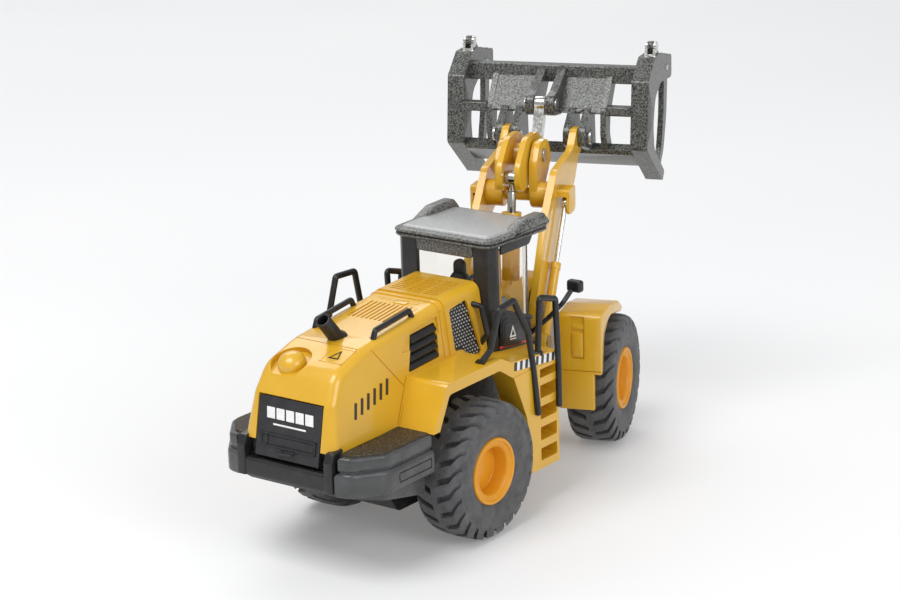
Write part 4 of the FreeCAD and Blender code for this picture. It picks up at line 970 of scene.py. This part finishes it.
def make_doors():
    """Each side of the cab: a door leaf, a raised panel, a window bar, stripes and a plain triangle."""
    leaf, panel, red, green, white = (bmesh.new() for _ in range(5))
    for side in (1, -1):
        def plate(bm, outline, depth, proud):
            soft_slab_into(bm, outline, min(side * depth, side * proud), max(side * depth, side * proud),
                           min(0.12, abs(proud - depth) / 2.2))
        plate(leaf, [(-18.6, 48.6, 0.6), (-2.9, 48.6, 0.6), (-2.9, 56.4, 1), (-15.6, 61.6, 1.5),
                     (-18.6, 61.8, 0.6)],
              18.1, 18.62)
        plate(panel, [(-18.2, 51.2, 0.8), (-8.0, 50.0, 1.0), (-7.6, 57.0, 2.4), (-15.6, 60.0, 2.6),
                      (-18.2, 59.6, 1.4)],
              18.3, 18.95)
        plate(panel, [(-17.4, 52.0, 0.6), (-8.8, 50.9, 0.8), (-8.4, 56.4, 1.9), (-15.4, 59.0, 2.0),
                      (-17.4, 58.7, 1.0)],
              18.3, 19.15)
        plate(leaf, [(-18.6, 62.6, 0.3), (-18.6, 63.7, 0.3), (-1.6, 57.4, 0.3), (-1.2, 56.4, 0.3),
                     (-2.4, 56.4, 0.3)],
              17.9, 18.6)
        for ink, low, high in ((red, 0.75, 1.55), (green, -0.3, 0.72)):
            plate(ink, [(-19.6, deck_top(-19.6) + low), (-5.6, deck_top(-5.6) + low),
                        (-5.6, deck_top(-5.6) + high),
                        (-19.6, deck_top(-19.6) + high)], 18.2, 18.75)
        corners = [Vector((-15.0, 53.6)), Vector((-11.6, 53.3)), Vector((-13.3, 57.2))]
        middle = sum(corners, Vector((0, 0))) / 3
        for a, b in zip(corners, corners[1:] + corners[:1]):
            inner = [middle.lerp(p, 0.55) for p in (a, b)]
            ring = [a, b, inner[1], inner[0]]
            skin(white, [[(p.x, side * 19.1, p.y) for p in ring], [(p.x, side * 19.21, p.y) for p in ring]])
        bar = [(-14.9, 52.8), (-11.7, 52.5), (-11.7, 52.85), (-14.9, 53.15)]
        skin(white, [[(x, side * 19.1, z) for x, z in bar], [(x, side * 19.21, z) for x, z in bar]])
    show("cab_door_leaves", leaf, CAB_BLACK, "black_plastic")
    show("cab_door_panels", panel, CAB_BLACK, "black_plastic")
    show("cab_red_stripes", red, RED_INK, "black_plastic")
    show("cab_green_stripes", green, GREEN_INK, "black_plastic")
    show("plain_door_triangles", white, WHITE_INK, "black_plastic")


def make_pillars():
    """Two rear corner posts with a broad chamfer and a rounded edge, and the header across them."""
    bm = bmesh.new()
    for side in (1, -1):
        plan = [(-22.1, side * 10.8, 0.4), (-22.1, side * 16.4, 0.9), (-20.5, side * 18.4, 0.8),
                (-18.7, side * 18.4, 0.3),
                (-18.7, side * 17.0), (-19.4, side * 15.8), (-20.6, side * 10.8)]
        stack_into(bm, plan, [(0, 46.6), (0, 83.3)])
    slab_into(bm, block((-21.9, -15.6), (-18.4, 15.6)), 82.0, 83.3, "XY")
    show("cab_corner_posts", bm, CAB_BLACK, "black_plastic", "cab_rear_frame", smooth=38)


def make_seat():
    """A bucket seat: back with rounded shoulders, headrest, squab and pedestal."""
    bm = bmesh.new()
    back = [(-4.8, 58.5, 1.2), (4.8, 58.5, 1.2), (4.6, 68.2, 3.2), (2.3, 71.6, 1.0), (-2.3, 71.6, 1.0),
            (-4.6, 68.2, 3.2)]
    soft_slab_into(bm, back, -15.5, -12.7, 0.9, "YZ")
    soft_slab_into(bm, [(-2.1, 71.0, 0.6), (2.1, 71.0, 0.6), (2.1, 76, 2.0), (-2.1, 76, 2.0)], -15.2, -12.9,
                   0.8, "YZ", 8)
    soft_slab_into(bm, block((-14.5, -4.7), (-5.6, 4.7), 1.6), 56.2, 60.2, 1.0, "XY")
    soft_slab_into(bm, block((-12.5, -3), (-7.5, 3), 0.6), 47.9, 56.6, 0.3, "XY")
    for side in (1, -1):
        soft_slab_into(bm, [(-14, 61.4, 0.5), (-14, 63, 0.6), (-7.4, 62.8, 0.6), (-7.4, 61.6, 0.5)],
                       min(side * 4.9, side * 6.1), max(side * 4.9, side * 6.1), 0.3)
    show("bucket_seat", bm, SEAT_BLACK, "seat_black", "operator_seat", smooth=50)


def make_hazard_stripes():
    """White and black slanting stripes along the nosing of each deck."""
    white, black = bmesh.new(), bmesh.new()
    for side in (1, -1):
        for stripe in range(16):
            x = -28.0 + stripe * 1.42
            top = deck_top(x)
            ring = [(x, top - 0.3), (x + 1.42, top - 0.43), (x + 1.1, top - 3.1), (x - 0.32, top - 2.95)]
            bm = white if stripe % 2 else black
            skin(bm, [[(a, side * 29.9, b) for a, b in ring], [(a, side * 30.09, b) for a, b in ring]])
    show("deck_white_stripes", white, WHITE_INK, "body_yellow")
    show("deck_black_stripes", black, DARK_INK, "body_yellow")


# ---------------------------------------------------------------- front fenders
def make_front_fenders():
    """Front fenders with a recessed lamp panel and a seam above the lower box."""
    cover = [(20.4, 29.8), (20.4, 49.9, 2), (32, 50.4, 6), (43.5, 48.5, 4), (48.4, 45.0), (46.6, 43.9),
             (31.5, 46.9, 8),
             (24.4, 42, 6), (22.3, 29.8)]
    for side_name, side in SIDES:
        def across(near, far):
            return min(side * near, side * far), max(side * near, side * far)
        bm = bmesh.new()
        soft_slab_into(bm, cover, *across(17.2, 31.8), 0.45)
        fender = new_piece(f"front_fender_shell_{side_name}", bm)
        skirt, web = bmesh.new(), bmesh.new()
        soft_slab_into(skirt, block((20.45, 17.4), (22.3, 31), 0.4), *across(17.4, 29.2), 0.35)
        soft_slab_into(web, block((20.5, 20), (22.25, 37), 0.4), *across(9.8, 17.9), 0.3)
        combine(fender, [new_piece("lower_box", skirt), new_piece("inner_web", web)], "UNION")
        bm = bmesh.new()
        low, high = across(21.3, 26.1)
        slab_into(bm, block((low, 34.8), (high, 49.0), 0.4), 19.5, 21.0, "YZ")
        seam_low, seam_high = across(16.5, 32.5)
        slab_into(bm, block((seam_low, 30.6), (seam_high, 30.95)), 19.5, 20.7, "YZ")
        combine(fender, [new_piece("lamp_recess", bm)])
        bm = bmesh.new()
        stack_into(bm, block((low + 0.5, 35.3), (high - 0.5, 43.6), 0.6),
                   [(0.3, 20.45), (0.1, 20.55), (0, 20.75), (0, 21.2)], "YZ")
        stack_into(bm, block((low + 0.3, 44.6), (high - 0.3, 46.4), 0.4),
                   [(0.3, 20.7), (0, 20.85), (0, 21.2)], "YZ")
        combine(fender, [new_piece("lamp_panel", bm)], "UNION")
        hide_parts(f"front_fender_{side_name}")
        dress(fender, PAINT, "body_yellow", "front_frame", front=True, smooth=35)


# ---------------------------------------------------------------- camera, floor and light
def make_camera():
    """The photo's view: from behind, above and to the right, with a long lens."""
    yaw, pitch, roll = math.radians(37.01), math.radians(16.27), math.radians(-1.633)
    data = bpy.data.cameras.new("camera")
    data.lens = 101.84
    data.clip_start = 0.05
    camera = bpy.data.objects.new("camera", data)
    camera.location = Vector((-627.1, -457.8, 286.0)) * MM
    ahead = Matrix.Rotation(yaw - math.pi / 2, 4, "Z") @ Matrix.Rotation(math.pi / 2 - pitch, 4, "X")
    camera.rotation_euler = (ahead @ Matrix.Rotation(roll, 4, "Z")).to_euler()
    bpy.context.scene.collection.objects.link(camera)
    bpy.context.scene.camera = camera


def make_floor():
    """A large flat sheet of white studio paper, softly lit from behind by its own glow."""
    bm = bmesh.new()
    bmesh.ops.create_circle(bm, cap_ends=True, segments=64, radius=7.0)
    mesh = bpy.data.meshes.new("floor")
    bm.to_mesh(mesh)
    bm.free()
    floor = bpy.data.objects.new("floor", mesh)
    bpy.context.scene.collection.objects.link(floor)
    paper = Shader("paper", Roughness=0.62, Specular_IOR_Level=0.25)
    fibres = paper.ramp(paper.noise(3, 2), (0.3, (0.70, 0.70, 0.70)), (0.7, (0.725, 0.722, 0.72)))
    paper.drive("Base Color", fibres)
    paper.drive("Emission Color", fibres)
    paper.surface.inputs["Emission Strength"].default_value = 0.22
    paper.bump((paper.noise(700, 2), 0.05, 0.05))
    mesh.materials.append(paper.material)


def add_lamp(name, place, size, power, target=(0, 0, 40), tint=(1, 1, 1)):
    """A soft square lamp aimed at the toy; place is in mm."""
    data = bpy.data.lights.new(name, "AREA")
    data.shape = "RECTANGLE"
    data.size, data.size_y = size[0] * MM, size[1] * MM
    data.energy = power
    data.color = tint
    lamp = bpy.data.objects.new(name, data)
    lamp.location = Vector(place) * MM
    lamp.rotation_euler = (Vector(target) - Vector(place)).to_track_quat("-Z", "Y").to_euler()
    bpy.context.scene.collection.objects.link(lamp)


def make_light():
    """Three soft lamps under a plain sky, shown with true colours."""
    bpy.context.scene.view_settings.view_transform = "Standard"
    world = bpy.data.worlds.new("studio")
    world.use_nodes = True
    world.node_tree.nodes["Background"].inputs["Color"].default_value = (0.95, 0.97, 1.0, 1)
    world.node_tree.nodes["Background"].inputs["Strength"].default_value = 0.5
    bpy.context.scene.world = world
    add_lamp("key", (-840, 120, 1520), (1040, 840), 17.5)
    add_lamp("fill", (-400, -1400, 840), (840, 720), 8.4)
    add_lamp("rim", (840, 1040, 1240), (1040, 840), 6.4)


make_camera()
make_floor()
make_light()
for wheel_body in ("rear_wheels", "front_wheels"):
    make_rims(wheel_body)
    for side_name, side in SIDES:
        make_tyre(wheel_body, side_name, side)
make_hood()
make_side_grilles()
make_dome()
make_exhaust()
make_rails()
make_hood_marks()
make_counterweight()
make_tread_plates()
make_bumper()
make_tail_panel()
make_roof()
make_doors()
make_pillars()
make_seat()
make_hazard_stripes()
make_front_fenders()

PLAIN_NODES = {
    "weight_grey": WEIGHT_GREY, "tread_brown": GRIT, "black_plastic": BLACK, "grille_black": BLACK,
               "clear": CLEAR,
    "roof_grey": ROOF_GREY, "seat_black": SEAT_BLACK, "blue_grey": BLUE_GREY, "tyre_rubber": RUBBER,
    "steel_pin": STEEL, "plated": CHROME, "grapple_grey": GRAPPLE_GREY, "plastic_yellow": PAINT,
    "body_yellow": PAINT,
}
SOFT_EDGES = {"bell_crank": 0.7, "lift_arm_left": 0.45, "lift_arm_right": 0.45, "arm_cross_tube": 0.4,
              "rear_fender_left": 0.45, "rear_fender_right": 0.45, "grapple_frame": 0.3}
for part in frame["record"]["subparts"]:
    keep_node(part["node"], PLAIN_NODES[part["material_slot"]], SOFT_EDGES.get(part["node"], 0.2))
